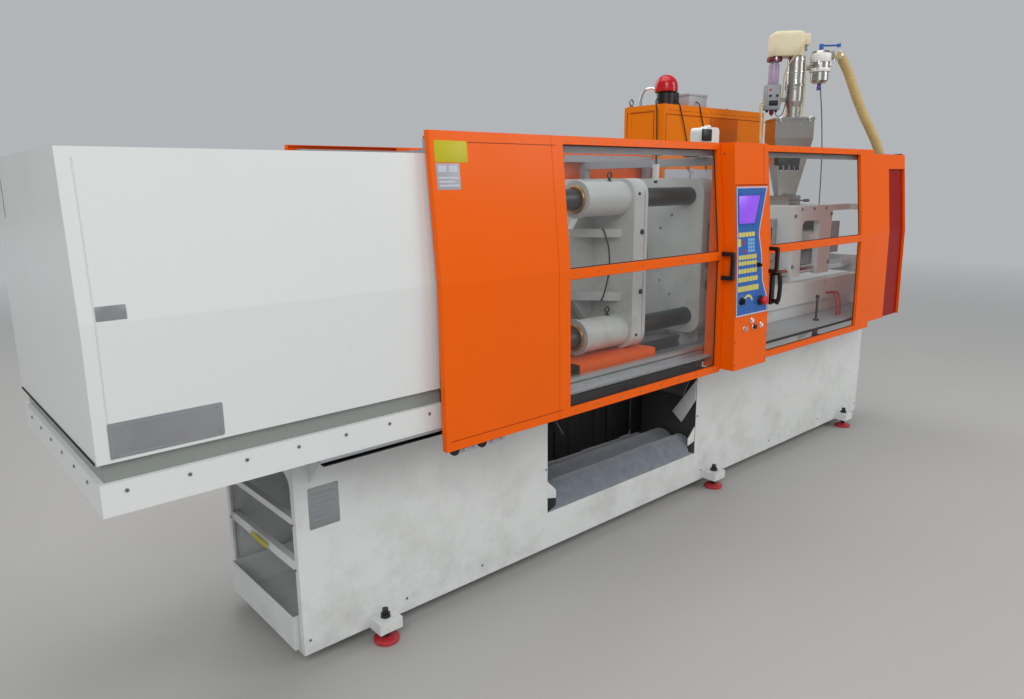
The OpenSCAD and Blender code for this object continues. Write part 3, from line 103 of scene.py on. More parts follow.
class Finish:
    """A material that is built up from procedural layers"""

    def __init__(self, name, colour, roughness, metallic=0.0):
        self.material = bpy.data.materials.new(name)
        self.material.use_nodes = True
        self.tree = self.material.node_tree
        self.shader = self.tree.nodes["Principled BSDF"]
        self.colour = (*colour, 1.0)
        self.material.diffuse_color = self.colour
        self.set(**{"Base Color": self.colour, "Roughness": roughness, "Metallic": metallic})
        self.place = self.node("ShaderNodeTexCoord").outputs["Object"]

    def set(self, **sockets):
        for name, value in sockets.items():
            self.shader.inputs[name].default_value = value
        return self

    def node(self, kind, inputs=None, **settings):
        return add_node(self.tree, kind, inputs, **settings)

    def to(self, source, socket):
        self.tree.links.new(source, self.shader.inputs[socket])
        return self

    def stretched(self, scale):
        return self.node("ShaderNodeMapping", {"Vector": self.place, "Scale": scale}).outputs["Vector"]

    def noise(self, scale, detail=3.0, roughness=0.55, stretch=None):
        place = self.stretched(stretch) if stretch else self.place
        made = self.node(
            "ShaderNodeTexNoise",
            {"Vector": place, "Scale": scale, "Detail": detail, "Roughness": roughness},
        )
        return made.outputs[0]

    def fitted(self, source, low, high, to_low=0.0, to_high=1.0):
        made = self.node(
            "ShaderNodeMapRange",
            {"Value": source, "From Min": low, "From Max": high, "To Min": to_low, "To Max": to_high},
        )
        return made.outputs["Result"]

    def times(self, a, b):
        return self.node("ShaderNodeMath", {0: a, 1: b}, operation="MULTIPLY").outputs[0]

    def mixed(self, factor, a, b):
        return self.node("ShaderNodeMix", {0: factor, 6: a, 7: b}, data_type="RGBA").outputs[2]

    def bump(self, height, strength, distance, under=None):
        inputs = {"Height": height, "Strength": strength, "Distance": distance}
        if under:
            inputs["Normal"] = under
        return self.node("ShaderNodeBump", inputs).outputs["Normal"]

    def clouded(self, amount, scale=2.2, tint=0.82):
        """Slow, weak changes of tone over a broad surface"""
        cloud = self.fitted(self.noise(scale, 4.0), 0.35, 0.75, 0.0, amount)
        darker = tuple(c * tint for c in self.colour[:3]) + (1.0,)
        self.tone = self.mixed(cloud, self.colour, darker)
        return self.to(self.tone, "Base Color")

    def soiled(self, colour, amount, scale=9.0, low_z=None, high_z=None):
        """Patches of dust or oil, which may gather towards a height"""
        patch = self.fitted(self.noise(scale, 6.0, 0.7), 0.45, 0.8, 0.0, amount)
        if low_z is not None:
            height = self.node("ShaderNodeSeparateXYZ", {"Vector": self.place}).outputs["Z"]
            patch = self.times(patch, self.fitted(height, low_z, high_z, 1.0, 0.0))
        self.tone = self.mixed(patch, self.tone, (*colour, 1.0))
        return self.to(self.tone, "Base Color")

    def rubbed(self, low, high, scale=5.0):
        """Roughness that changes where hands and rags have been"""
        return self.to(self.fitted(self.noise(scale, 5.0, 0.6), 0.3, 0.7, low, high), "Roughness")

    def eased(self, radius=0.002):
        """Edges that catch the light as if they were rounded"""
        self.under = self.node("ShaderNodeBevel", {"Radius": radius}, samples=3).outputs["Normal"]
        return self.to(self.under, "Normal")

    def peeled(self, scale=420.0, strength=0.1, distance=0.0003):
        """The fine orange peel of a powder coat"""
        return self.to(self.bump(self.noise(scale, 1.0), strength, distance, self.under), "Normal")

    def inside(self, axis, low, high, soft=0.0005):
        """1 where the place along an axis lies between two values, in metres"""
        at = self.node("ShaderNodeSeparateXYZ", {"Vector": self.place}).outputs[axis]
        above = self.fitted(at, low - soft, low + soft)
        return self.times(above, self.fitted(at, high - soft, high + soft, 1.0, 0.0))

    def painted(self, mask, colour):
        """Lays another colour over the tone where the mask is 1"""
        self.tone = self.mixed(mask, self.tone, (*colour, 1.0))
        return self.to(self.tone, "Base Color")


def powder_coat(name, colour, cloud=0.5, dust=0.25, dirt=shade(104, 98, 88), gloss=0.5):
    made = Finish(name, colour, 0.42)
    made.clouded(cloud, 0.9, 0.93)
    made.soiled(dirt, dust, 5.0, 0.0, 1.1)
    made.rubbed(0.26, 0.4)
    made.eased()
    made.peeled()
    made.set(**{"Coat Weight": 0.06, "Coat Roughness": 0.15, "Specular IOR Level": gloss})
    return made


def orange_coat(name, colour):
    """Guard orange keeps its depth: its dirt is rust brown and its shine is low"""
    return powder_coat(name, colour, 0.4, 0.2, shade(150, 52, 10), 0.12)


def cast_paint(name, colour):
    made = Finish(name, colour, 0.5)
    made.clouded(0.7, 5.0, 0.86)
    made.soiled(shade(78, 70, 56), 0.4, 12.0, 0.8, 1.9)
    made.rubbed(0.3, 0.55, 14.0)
    made.eased(0.004)
    made.to(made.bump(made.noise(120.0, 4.0), 0.5, 0.0012, made.under), "Normal")
    return made


def ground_steel(name, colour, roughness, stretch, spread=0.12):
    made = Finish(name, colour, roughness, 1.0)
    grain = made.noise(260.0, 3.0, 0.6, stretch)
    made.to(made.fitted(grain, 0.3, 0.7, roughness - spread / 2, roughness + spread), "Roughness")
    made.clouded(0.5, 6.0, 0.75)
    made.to(made.bump(grain, 0.08, 0.0002), "Normal")
    return made


def chromed(name, colour=(0.78, 0.79, 0.80)):
    made = Finish(name, colour, 0.08, 1.0)
    made.to(made.fitted(made.noise(7.0, 5.0), 0.3, 0.75, 0.05, 0.2), "Roughness")
    return made


def moulded(name, colour, roughness=0.45, grain=900.0):
    made = Finish(name, colour, roughness)
    made.clouded(0.4, 14.0, 0.86)
    made.to(made.bump(made.noise(grain, 2.0), 0.15, 0.0003), "Normal")
    worn = made.noise(22.0, 4.0)
    made.to(made.fitted(worn, 0.3, 0.7, roughness - 0.08, roughness + 0.1), "Roughness")
    return made


def rubber(name, colour):
    made = Finish(name, colour, 0.62)
    made.clouded(0.6, 18.0, 0.7)
    made.to(made.bump(made.noise(700.0, 3.0), 0.25, 0.0004), "Normal")
    return made


def felt_cloth(name, colour):
    made = Finish(name, colour, 0.95)
    made.clouded(0.8, 26.0, 0.62)
    fibre = made.noise(900.0, 4.0, 0.75)
    made.to(made.bump(fibre, 0.6, 0.0016), "Normal")
    made.set(**{"Sheen Weight": 0.5, "Sheen Roughness": 0.6})
    return made


def woven_hose(name, colour):
    """A beige hose with a spiral that shows through its wall"""
    made = Finish(name, colour, 0.55)
    made.clouded(0.6, 12.0, 0.78)
    wave = made.node(
        "ShaderNodeTexWave",
        {"Vector": made.place, "Scale": 38.0, "Distortion": 0.4, "Detail": 1.0},
        wave_type="BANDS",
        bands_direction="Z",
    ).outputs[0]
    spiral = made.fitted(wave, 0.2, 0.9, 0.0, 0.35)
    made.tone = made.mixed(spiral, made.tone, (*shade(150, 118, 66), 1.0))
    made.to(made.tone, "Base Color")
    made.to(made.bump(wave, 0.5, 0.0015), "Normal")
    return made


def window_sheet(name, colour, alpha):
    made = Finish(name, colour, 0.06)
    made.to(made.fitted(made.noise(4.0, 5.0), 0.35, 0.75, 0.02, 0.1), "Roughness")
    made.set(Alpha=alpha, IOR=1.45)
    return made


def glowing(name, colour, strength):
    made = Finish(name, colour, 0.3)
    made.clouded(0.3, 40.0, 0.8)
    made.set(**{"Emission Color": (*colour, 1.0), "Emission Strength": strength})
    return made


def tinted_shell(name, colour, alpha):
    """A clear moulding with a colour of its own, such as a sight glass or a lens"""
    made = Finish(name, colour, 0.12)
    made.clouded(0.4, 20.0, 0.7)
    made.set(Alpha=alpha, IOR=1.5)
    return made


def dished_coat_painted_reflection(name, colour, painted_shade_colour):
    """The guard's orange, with a deep red painted reflection and shade in the dish of the end panel"""
    made = orange_coat(name, colour)
    # painted reflection and shade: deep red laid over the dish of the end panel
    dish = made.times(made.inside("X", 2.2525, 2.5), made.inside("Z", 0.5, 1.785))
    made.painted(made.times(dish, made.inside("Y", -0.7, 0.0)), painted_shade_colour)
    return made


def skirt_coat(name, colour, band):
    """Cream with a grey band in the recess under the cover's panel"""
    made = powder_coat(name, colour, 0.3, 0.25)
    made.painted(made.inside("Z", 0.9575, 1.2), band)
    return made


def base_coat_painted_chute_shade(name, colour, painted_shade_colour):
    """Cream outside, with a dull, deep grey painted shade where the chute runs through the base"""
    made = powder_coat(name, colour, 0.35, 0.4)
    # painted shade: the inside of the chute is laid over in deep grey
    through = made.times(made.inside("X", -0.668, 0.4935), made.inside("Z", 0.2285, 0.762))
    made.painted(made.times(through, made.inside("Y", -0.3185, 0.3185)), painted_shade_colour)
    return made


def belt_finish(name, colour, band):
    """Felt with a darker band along its middle"""
    made = felt_cloth(name, colour)
    made.painted(made.times(made.inside("Y", -0.21, 0.21, 0.02), 0.55), band)
    return made


FINISHES = {}


def finish_for(slot):
    return FINISHES[slot].material


def make_finishes(colours):
    cream, orange, grey = colours.cream, colours.orange, colours.grey
    FINISHES.update(
        white=powder_coat("cream_coat", cream, 0.3, 0.25),
        orange=orange_coat("orange_coat", orange),
        # the end panel's dish gets a deep red painted reflection and shade
        dished=dished_coat_painted_reflection("panel_coat", orange, shade(150, 18, 10)),
        cabinet_orange=orange_coat("cabinet_coat", colours.cabinet),
        skirt=skirt_coat("skirt_coat", cream, shade(140, 146, 142)),
        # the chute inside the base gets a deep grey painted shade
        base=base_coat_painted_chute_shade("base_coat_painted_chute_shade", cream, shade(66, 66, 66)),
        grey=powder_coat("grey_coat", grey, 0.5, 0.3),
        black=powder_coat("black_coat", shade(22, 23, 26), 0.5, 0.2),
        bare=ground_steel("bare_plate", shade(186, 188, 192), 0.42, (1.0, 30.0, 30.0)),
        plate=moulded("plain_label", shade(168, 171, 178), 0.4),
        yellow=moulded("yellow_label", shade(196, 186, 6), 0.45),
        steel=ground_steel("ground_steel", shade(150, 152, 156), 0.3, (1.0, 6.0, 6.0)),
        dark_steel=ground_steel("dark_steel", shade(92, 93, 96), 0.42, (1.0, 6.0, 6.0)),
        chrome=chromed("hard_chrome"),
        stainless=ground_steel("brushed_stainless", shade(196, 194, 188), 0.28, (8.0, 8.0, 1.0)),
        aluminium=ground_steel("anodised_profile", shade(214, 216, 218), 0.4, (1.0, 12.0, 12.0)),
        cast=cast_paint("platen_paint", shade(206, 212, 210)),
        red=powder_coat("pad_red", shade(190, 46, 58), 0.5, 0.3),
        dark_red=moulded("clamp_red", shade(112, 26, 24), 0.4),
        clear=window_sheet("clear_sheet", shade(120, 124, 124), 0.1),
        felt=belt_finish("belt_felt", shade(112, 121, 134), shade(66, 72, 84)),
        blue=moulded("membrane_blue", shade(38, 98, 178), 0.3),
        light_blue=moulded("key_blue", shade(120, 176, 226), 0.4),
        silver_print=moulded("silver_border", shade(196, 198, 210), 0.35),
        screen=glowing("screen_glow", shade(132, 74, 214), 0.45),
        dark_orange=orange_coat("seam_orange", shade(140, 40, 6)),
        stripe=moulded("stripe_yellow", shade(214, 204, 104), 0.4),
        blue_metal=moulded("blue_enamel", shade(30, 88, 170), 0.25),
        red_plastic=tinted_shell("red_lens", shade(196, 14, 24), 0.9),
        cabinet_dark=orange_coat("cabinet_panel_coat", shade(196, 92, 4)),
        purple=moulded("valve_cap", shade(124, 84, 176), 0.4),
        red_mark=moulded("red_moulding", shade(204, 24, 26), 0.35),
        bottle=tinted_shell("bottle_wall", shade(176, 150, 186), 0.62),
        white_plastic=moulded("white_moulding", shade(232, 232, 228), 0.4),
        grey_plastic=moulded("grey_moulding", shade(148, 154, 160), 0.45),
        black_plastic=moulded("black_moulding", shade(20, 20, 22), 0.4),
        seal=rubber("seal_rubber", shade(26, 27, 29)),
        cable=rubber("cable_jacket", shade(20, 20, 22)),
        red_hose=rubber("red_hose_jacket", shade(170, 34, 30)),
        ivory=moulded("ivory_moulding", shade(224, 214, 182), 0.5),
        tube=rubber("beige_tube", shade(206, 186, 140)),
        hose=woven_hose("material_hose_wall", shade(205, 178, 116)),
        bronze=ground_steel("bearing_bronze", shade(196, 148, 78), 0.35, (1.0, 5.0, 5.0)),
    )


# Mesh building


def shift(x, y, z=0.0):
    return Matrix.Translation((x, y, z))


def turned(degrees):
    return Matrix.Rotation(math.radians(degrees), 4, "Z")


def soften(bm, edges, width, segments=2):
    """Bevels edges, and gives the points of the bevel"""
    return bmesh.ops.bevel(
        bm, geom=list(edges), offset=width, offset_type="OFFSET", segments=segments,
        profile=0.5, affect="EDGES", material=-1,
    )["verts"]


def leaning(levels, z):
    """Half width of a leaning sheet at a height"""
    (z0, y0), (z1, y1), (z2, y2) = levels
    if z < z1:
        return y0 + (y1 - y0) * (z - z0) / (z1 - z0)
    return y1 + (y2 - y1) * (z - z1) / (z2 - z1)


def stand_on(levels, x, z, lift=0.0, rear=False):
    """A matrix that puts a drawing on a leaning sheet: X along, Y up the slope, Z outwards"""
    (z0, y0), (z1, y1), (z2, y2) = levels
    slope = (y1 - y0) / (z1 - z0) if z < z1 else (y2 - y1) / (z2 - z1)
    side = 1.0 if rear else -1.0
    up = Vector((0.0, side * slope, 1.0)).normalized()
    along = Vector((-side, 0.0, 0.0))
    out = along.cross(up)
    spot = Vector((x, side * leaning(levels, z), z)) + out * lift
    made = Matrix((along, up, out)).transposed().to_4x4()
    made.translation = spot
    return made


def add_block(bm, low, high, bevel=0.0, at=None, segments=2):
    made = bmesh.ops.create_cube(bm, size=1.0)["verts"]
    low, high = Vector(low), Vector(high)
    size = high - low
    bmesh.ops.scale(bm, vec=size, verts=made)
    bmesh.ops.translate(bm, vec=(low + high) / 2, verts=made)
    if at:
        bmesh.ops.transform(bm, matrix=at, verts=made)
    if bevel:
        soften(bm, {e for v in made for e in v.link_edges}, bevel, segments)


def add_rod(bm, start, end, radius, sides=24, bevel=0.0):
    start, end = Vector(start), Vector(end)
    line = end - start
    turn = line.to_track_quat("Z", "Y").to_matrix().to_4x4()
    turn.translation = (start + end) / 2
    made = bmesh.ops.create_cone(
        bm, cap_ends=True, cap_tris=False, segments=sides, radius1=radius, radius2=radius,
        depth=line.length, matrix=turn,
    )["verts"]
    if bevel:
        rims = {e for v in made for e in v.link_edges if any(len(f.verts) > 4 for f in e.link_faces)}
        soften(bm, rims, bevel)


def add_blocks(bm, at, *rows):
    """Blocks, each given by its low corner, its high corner and its bevel"""
    for low, high, bevel in rows:
        add_block(bm, low, high, bevel, at)


def add_post(bm, x, y, *rows):
    """Upright rods about one axis, each given by its ends, radius, sides and bevel"""
    for low, high, radius, sides, bevel in rows:
        add_rod(bm, (x, y, low), (x, y, high), radius, sides, bevel)


def add_lathe(bm, outline, at=None, steps=32):
    """Spins an outline of (radius, height) points round Z"""
    points = [bm.verts.new((r, 0.0, z)) for r, z in outline]
    lines = [bm.edges.new(pair) for pair in zip(points, points[1:])]
    before = set(bm.verts) - set(points)
    bmesh.ops.spin(
        bm, geom=points + lines, cent=(0, 0, 0), axis=(0, 0, 1), dvec=(0, 0, 0),
        angle=math.tau, steps=steps, use_merge=True, use_duplicate=False,
    )
    made = [v for v in bm.verts if v not in before]
    bmesh.ops.remove_doubles(bm, verts=made, dist=1e-3)
    made = [v for v in bm.verts if v not in before]
    faces = {f for v in made for f in v.link_faces}
    bmesh.ops.recalc_face_normals(bm, faces=list(faces))
    if at:
        bmesh.ops.transform(bm, matrix=at, verts=made)


def add_plate(bm, outline, thick, at=None, bevel=0.0):
    """Raises a flat outline of (x, y) points to a thickness"""
    points = [bm.verts.new((x, y, 0.0)) for x, y in outline]
    face = bm.faces.new(points)
    raised = bmesh.ops.extrude_face_region(bm, geom=[face])["geom"]
    top = [v for v in raised if isinstance(v, bmesh.types.BMVert)]
    bmesh.ops.translate(bm, vec=(0, 0, thick), verts=top)
    verts = points + top
    faces = {f for v in verts for f in v.link_faces}
    bmesh.ops.recalc_face_normals(bm, faces=list(faces))
    if bevel:
        rims = {e for v in top for e in v.link_edges}
        verts = list(set(soften(bm, rims, bevel)) | {v for v in verts if v.is_valid})
    if at:
        bmesh.ops.transform(bm, matrix=at, verts=verts)


def add_ring(bm, outer, inner, thick, at=None):
    """A flat ring between two outlines that have as many points each"""
    rows = [
        [bm.verts.new((x, y, z)) for x, y in line] for z in (0.0, thick) for line in (outer, inner)
    ]
    faces = []
    for a, b in ((rows[1], rows[0]), (rows[2], rows[3]), (rows[0], rows[2]), (rows[3], rows[1])):
        for i in range(len(a)):
            k = (i + 1) % len(a)
            faces.append(bm.faces.new((a[i], a[k], b[k], b[i])))
    bmesh.ops.recalc_face_normals(bm, faces=faces)
    if at:
        bmesh.ops.transform(bm, matrix=at, verts=[v for row in rows for v in row])


def add_loft(bm, rings, at=None):
    """Skins a row of rings that have as many points each, and caps both ends"""
    rows = [[bm.verts.new(p) for p in ring] for ring in rings]
    faces = [bm.faces.new(rows[0]), bm.faces.new(rows[-1])]
    for a, b in zip(rows, rows[1:]):
        for i in range(len(a)):
            k = (i + 1) % len(a)
            faces.append(bm.faces.new((a[i], a[k], b[k], b[i])))
    bmesh.ops.recalc_face_normals(bm, faces=faces)
    if at:
        bmesh.ops.transform(bm, matrix=at, verts=[v for row in rows for v in row])


def add_sweep(bm, points, radius, sides=12, steps=5):
    """A bent rod or pipe along a smooth line"""
    line = smooth_line(points, steps)
    ways = [(b - a).normalized() for a, b in zip(line, line[1:])]
    ways = [ways[0]] + [(a + b).normalized() for a, b in zip(ways, ways[1:])] + [ways[-1]]
    side = ways[0].orthogonal().normalized()
    rings = []
    for spot, way in zip(line, ways):
        side = (side - way * side.dot(way)).normalized()
        other = way.cross(side)
        angles = [math.tau * i / sides for i in range(sides)]
        rings.append([spot + radius * (math.cos(a) * side + math.sin(a) * other) for a in angles])
    add_loft(bm, rings)


def add_screws(bm, at, spots, radius):
    """Socket screws on a face, at (x, y) places of its drawing"""
    outline = [(r * radius, z * radius) for r, z in (
        (0.0, 0.2), (0.45, 0.2), (0.5, 0.6), (0.82, 0.62), (1.0, 0.4), (1.0, -0.2),
    )]
    for x, y in spots:
        add_lathe(bm, outline, at @ shift(x, y, 0.0), 14)


def add_bolts(bm, at, spots, radius, height):
    """Hexagon heads on washers"""
    for x, y in spots:
        spot = at @ shift(x, y, 0.0)
        washer = [(0, 2.2), (radius * 1.35, 2.2), (radius * 1.45, 1.4), (radius * 1.45, -0.5)]
        add_lathe(bm, washer, spot, 18)
        add_plate(bm, circle(radius, 6)[:6], height, spot @ shift(0, 0, 2.0), radius * 0.12)


def circle(radius, count, middle=0.0):
    """Points round a circle, with the last on the first where an outline has to close"""
    turns = [math.tau * k / count for k in range(count + 1)]
    return [(middle + radius * math.cos(a), radius * math.sin(a)) for a in turns]


def inset(outline, distance):
    """Draws an outline of (x, y) points in by a distance"""
    points = [Vector(p) for p in outline]
    area = sum(a.x * b.y - b.x * a.y for a, b in zip(points, points[1:] + points[:1]))
    turn = 1.0 if area > 0 else -1.0
    made = []
    for a, b, c in zip(points[-1:] + points[:-1], points, points[1:] + points[:1]):
        m, n = ((q - p).normalized() for p, q in ((a, b), (b, c)))
        m, n = Vector((-m.y, m.x)) * turn, Vector((-n.y, n.x)) * turn
        made.append(tuple(b + (m + n) * distance / (1.0 + m.dot(n))))
    return made


def facing(spot, out, up=(0, 0, 1)):
    """A matrix that puts a drawing on a face: X along, Y up, Z outwards"""
    out, up = Vector(out).normalized(), Vector(up).normalized()
    made = Matrix((up.cross(out), up, out)).transposed().to_4x4()
    made.translation = Vector(spot)
    return made


def drape(bm, levels, lift=0.0, side=-1.0):
    """Lays flat work, drawn as (x, z, height), over a leaning sheet and its kink"""
    everything = [*bm.verts, *bm.edges, *bm.faces]
    bmesh.ops.bisect_plane(bm, geom=everything, plane_co=(0, KINK, 0), plane_no=(0, 1, 0))
    for v in bm.verts:
        x, z, height = v.co
        v.co = (x, side * (leaning(levels, z) + lift + height), z)
    bmesh.ops.recalc_face_normals(bm, faces=bm.faces)


def rounded_outline(width, height, radius, corner=5, cx=0.0, cy=0.0):
    points = []
    for sx, sy, start in ((1, -1, -90), (1, 1, 0), (-1, 1, 90), (-1, -1, 180)):
        for i in range(corner + 1):
            a = math.radians(start + 90 * i / corner)
            points.append((
                cx + sx * (width / 2 - radius) + radius * math.cos(a),
                cy + sy * (height / 2 - radius) + radius * math.sin(a),
            ))
    return points


@contextmanager
def piece(name, body, slot, sharp=35.0, stands_for=()):
    """Opens a bmesh, in millimetres, and makes the piece and its body when the block ends"""
    bm = bmesh.new()
    yield bm
    bmesh.ops.scale(bm, vec=(0.001, 0.001, 0.001), verts=bm.verts)
    mesh = bpy.data.meshes.new(name)
    bm.to_mesh(mesh)
    bm.free()
    made = bpy.data.objects.new(name, mesh)
    mesh.materials.append(finish_for(slot))
    mesh.shade_smooth()
    mesh.set_sharp_from_angle(angle=math.radians(sharp))
    bpy.context.scene.collection.objects.link(made)
    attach(made, body)
    if stands_for:
        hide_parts(*stands_for)


def smooth_line(points, steps=4):
    """Rounds a line of points off with a Catmull-Rom spline"""
    points = [Vector(p) for p in points]
    ends = [2 * points[0] - points[1], *points, 2 * points[-1] - points[-2]]
    made = []
    for i in range(1, len(ends) - 2):
        a, b, c, d = ends[i - 1:i + 3]
        for k in range(steps):
            t = k / steps
            made.append(0.5 * (
                2 * b + (c - a) * t + (2 * a - 5 * b + 4 * c - d) * t * t
                + (3 * b - a - 3 * c + d) * t * t * t
            ))
    made.append(points[-1])
    return made


def line_length(points):
    return sum((b - a).length for a, b in zip(points, points[1:]))


def lay_cord(name, points, diameter, body, slot, steps=4):
    """A hose or cable that is held at both its ends"""
    line = smooth_line([Vector(p) / 1000 for p in points], steps)
    diameter = diameter / 1000
    curve = bpy.data.curves.new(name, "CURVE")
    curve.dimensions = "3D"
    curve.bevel_depth = diameter / 2
    curve.bevel_resolution = 4
    curve.use_fill_caps = True
    spline = curve.splines.new("POLY")
    spline.points.add(len(line) - 1)
    for point, place in zip(spline.points, line):
        point.co = (*place, 1.0)
    spline.use_smooth = True
    made = bpy.data.objects.new(name, curve)
    bpy.context.scene.collection.objects.link(made)
    curve.materials.append(finish_for(slot))
    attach(made, body)
    return made


# Settings


class MouldingColours(bpy.types.PropertyGroup):
    cream: bpy.props.FloatVectorProperty(
        name="Cream", description="Powder coat of the base and the clamp cover",
        subtype="COLOR", size=3, min=0, max=1, default=shade(228, 231, 230),
    )
    orange: bpy.props.FloatVectorProperty(
        name="Guard orange", description="Powder coat of the doors and the column",
        subtype="COLOR", size=3, min=0, max=1, default=shade(246, 100, 4),
    )
    cabinet: bpy.props.FloatVectorProperty(
        name="Cabinet orange", description="Powder coat of the electrical cabinet",
        subtype="COLOR", size=3, min=0, max=1, default=shade(236, 124, 6),
    )
    grey: bpy.props.FloatVectorProperty(
        name="Frame grey", description="Coat of the guard frame, the deck and the cylinders",
        subtype="COLOR", size=3, min=0, max=1, default=shade(150, 154, 158),
    )


class MouldingStage(bpy.types.PropertyGroup):
    floor: bpy.props.FloatVectorProperty(
        name="Floor", description="Colour of the floor",
        subtype="COLOR", size=3, min=0, max=1, default=shade(178, 178, 176),
    )
    backdrop: bpy.props.FloatVectorProperty(
        name="Backdrop", description="Colour of the studio behind the machine",
        subtype="COLOR", size=3, min=0, max=1, default=shade(178, 181, 184),
    )
    lamp_power: bpy.props.FloatProperty(
        name="Lamps", description="Strength of the large soft lamps", default=122.0, min=0.0,
    )
    sky: bpy.props.FloatProperty(
        name="Sky", description="Strength of the even light from all round", default=0.5, min=0.0,
    )
    shine: bpy.props.FloatProperty(
        name="Shine", description="Share of the even light that shows in reflections",
        default=0.5, min=0.0, max=1.0,
    )


class MOULDING_OT_finishes(bpy.types.Operator):
    """Makes the materials and puts them on the frame's nodes"""

    bl_idname = "moulding.finishes"
    bl_label = "Finishes"

    def execute(self, context):
        make_finishes(context.scene.moulding_colours)
        slots = {s["node"]: s["material_slot"] for s in frame["record"]["subparts"]}
        slots.update(
            fixed_panels="dished", tie_bars="dark_steel", tie_bar_nuts="dark_steel",
            button_stop="black_plastic", e_stop="red_mark", cover_skirt="skirt", base_frame="base",
        )
        for name, node in NODES.items():
            node.data.materials.clear()
            node.data.materials.append(finish_for(slots[name]))
        return {"FINISHED"}


# The camera that was fitted to the photo: pixels, radians and metres
PICTURE_WIDTH = 1024
FOCAL_LENGTH = 745.10
CAMERA_SHIFT = (14.97, -9.03)
CAMERA_TURN = (0.70982, 0.20683, -0.01276)
CAMERA_PLACE = (-2.9262, -2.6090, 1.72116)


class MOULDING_OT_stage(bpy.types.Operator):
    """Sets the floor, the lamps and the camera"""

    bl_idname = "moulding.stage"
    bl_label = "Stage"

    def execute(self, context):
        scene = context.scene
        settings = scene.moulding_stage
        scene.view_settings.view_transform = "Standard"
        bm = bmesh.new()
        bmesh.ops.create_grid(bm, x_segments=1, y_segments=1, size=40.0)
        mesh = bpy.data.meshes.new("floor")
        bm.to_mesh(mesh)
        bm.free()
        floor = bpy.data.objects.new("floor", mesh)
        scene.collection.objects.link(floor)
        paint = Finish("floor_paint", settings.floor, 0.55)
        paint.clouded(0.25, 0.6, 0.93)
        paint.rubbed(0.5, 0.65, 1.2)
        reach = paint.node("ShaderNodeVectorMath", {0: paint.place}, operation="LENGTH")
        far = paint.fitted(reach.outputs["Value"], 4.0, 15.0)
        glow = paint.node("ShaderNodeEmission", {"Color": (*settings.backdrop, 1.0)}).outputs[0]
        fade = paint.node("ShaderNodeMixShader", {0: far, 1: paint.shader.outputs[0], 2: glow})
        surface = paint.tree.nodes["Material Output"].inputs["Surface"]
        paint.tree.links.new(fade.outputs[0], surface)
        mesh.materials.append(paint.material)

        world = bpy.data.worlds.new("studio")
        world.use_nodes = True
        tree = world.node_tree
        rays = add_node(tree, "ShaderNodeLightPath").outputs
        seen = add_node(
            tree, "ShaderNodeMath",
            {0: rays["Is Camera Ray"], 1: rays["Is Transmission Ray"]}, operation="MAXIMUM",
        )
        even = Vector((settings.sky, settings.sky, settings.sky))
        light = {0: rays["Is Glossy Ray"], 6: (*even, 1.0), 7: (*(even * settings.shine), 1.0)}
        shine = add_node(tree, "ShaderNodeMix", light, data_type="RGBA").outputs[2]
        backdrop = {0: seen.outputs[0], 6: shine, 7: (*settings.backdrop, 1.0)}
        tone = add_node(tree, "ShaderNodeMix", backdrop, data_type="RGBA").outputs[2]
        tree.links.new(tone, tree.nodes["Background"].inputs["Color"])
        scene.world = world

        for name, spot, aim, size, share in (
            ("lamp_left", (-5.5, -5.0, 5.5), (-0.6, 0.0, 1.0), 4.0, 1.7),
            ("lamp_right", (4.5, -5.5, 4.5), (0.8, 0.0, 1.2), 3.5, 1.1),
            ("lamp_top", (0.0, 0.5, 6.5), (0.0, 0.0, 0.0), 5.0, 1.2),
            ("lamp_rear", (1.0, 6.0, 4.5), (0.0, 0.0, 1.0), 4.0, 0.8),
        ):
            light = bpy.data.lights.new(name, "AREA")
            light.shape = "SQUARE"
            light.size = size
            light.energy = settings.lamp_power * share
            lamp = bpy.data.objects.new(name, light)
            scene.collection.objects.link(lamp)
            lamp.location = spot
            lamp.rotation_euler = (Vector(aim) - Vector(spot)).to_track_quat("-Z", "Y").to_euler()

        yaw, pitch, roll = CAMERA_TURN
        ahead = Vector((
            math.sin(yaw) * math.cos(pitch), math.cos(yaw) * math.cos(pitch), -math.sin(pitch),
        ))
        right = Vector((math.cos(yaw), -math.sin(yaw), 0.0))
        up = right.cross(ahead)
        c, s = math.cos(roll), math.sin(roll)
        right, up = c * right + s * up, c * up - s * right
        data = bpy.data.cameras.new("camera")
        data.sensor_width = 36.0
        data.lens = FOCAL_LENGTH / PICTURE_WIDTH * data.sensor_width
        data.shift_x, data.shift_y = (pixels / PICTURE_WIDTH for pixels in CAMERA_SHIFT)
        data.clip_end = 200.0
        camera = bpy.data.objects.new("camera", data)
        scene.collection.objects.link(camera)
        place = Matrix((right, up, -ahead)).transposed().to_4x4()
        place.translation = CAMERA_PLACE
        camera.matrix_world = place
        scene.camera = camera
        return {"FINISHED"}


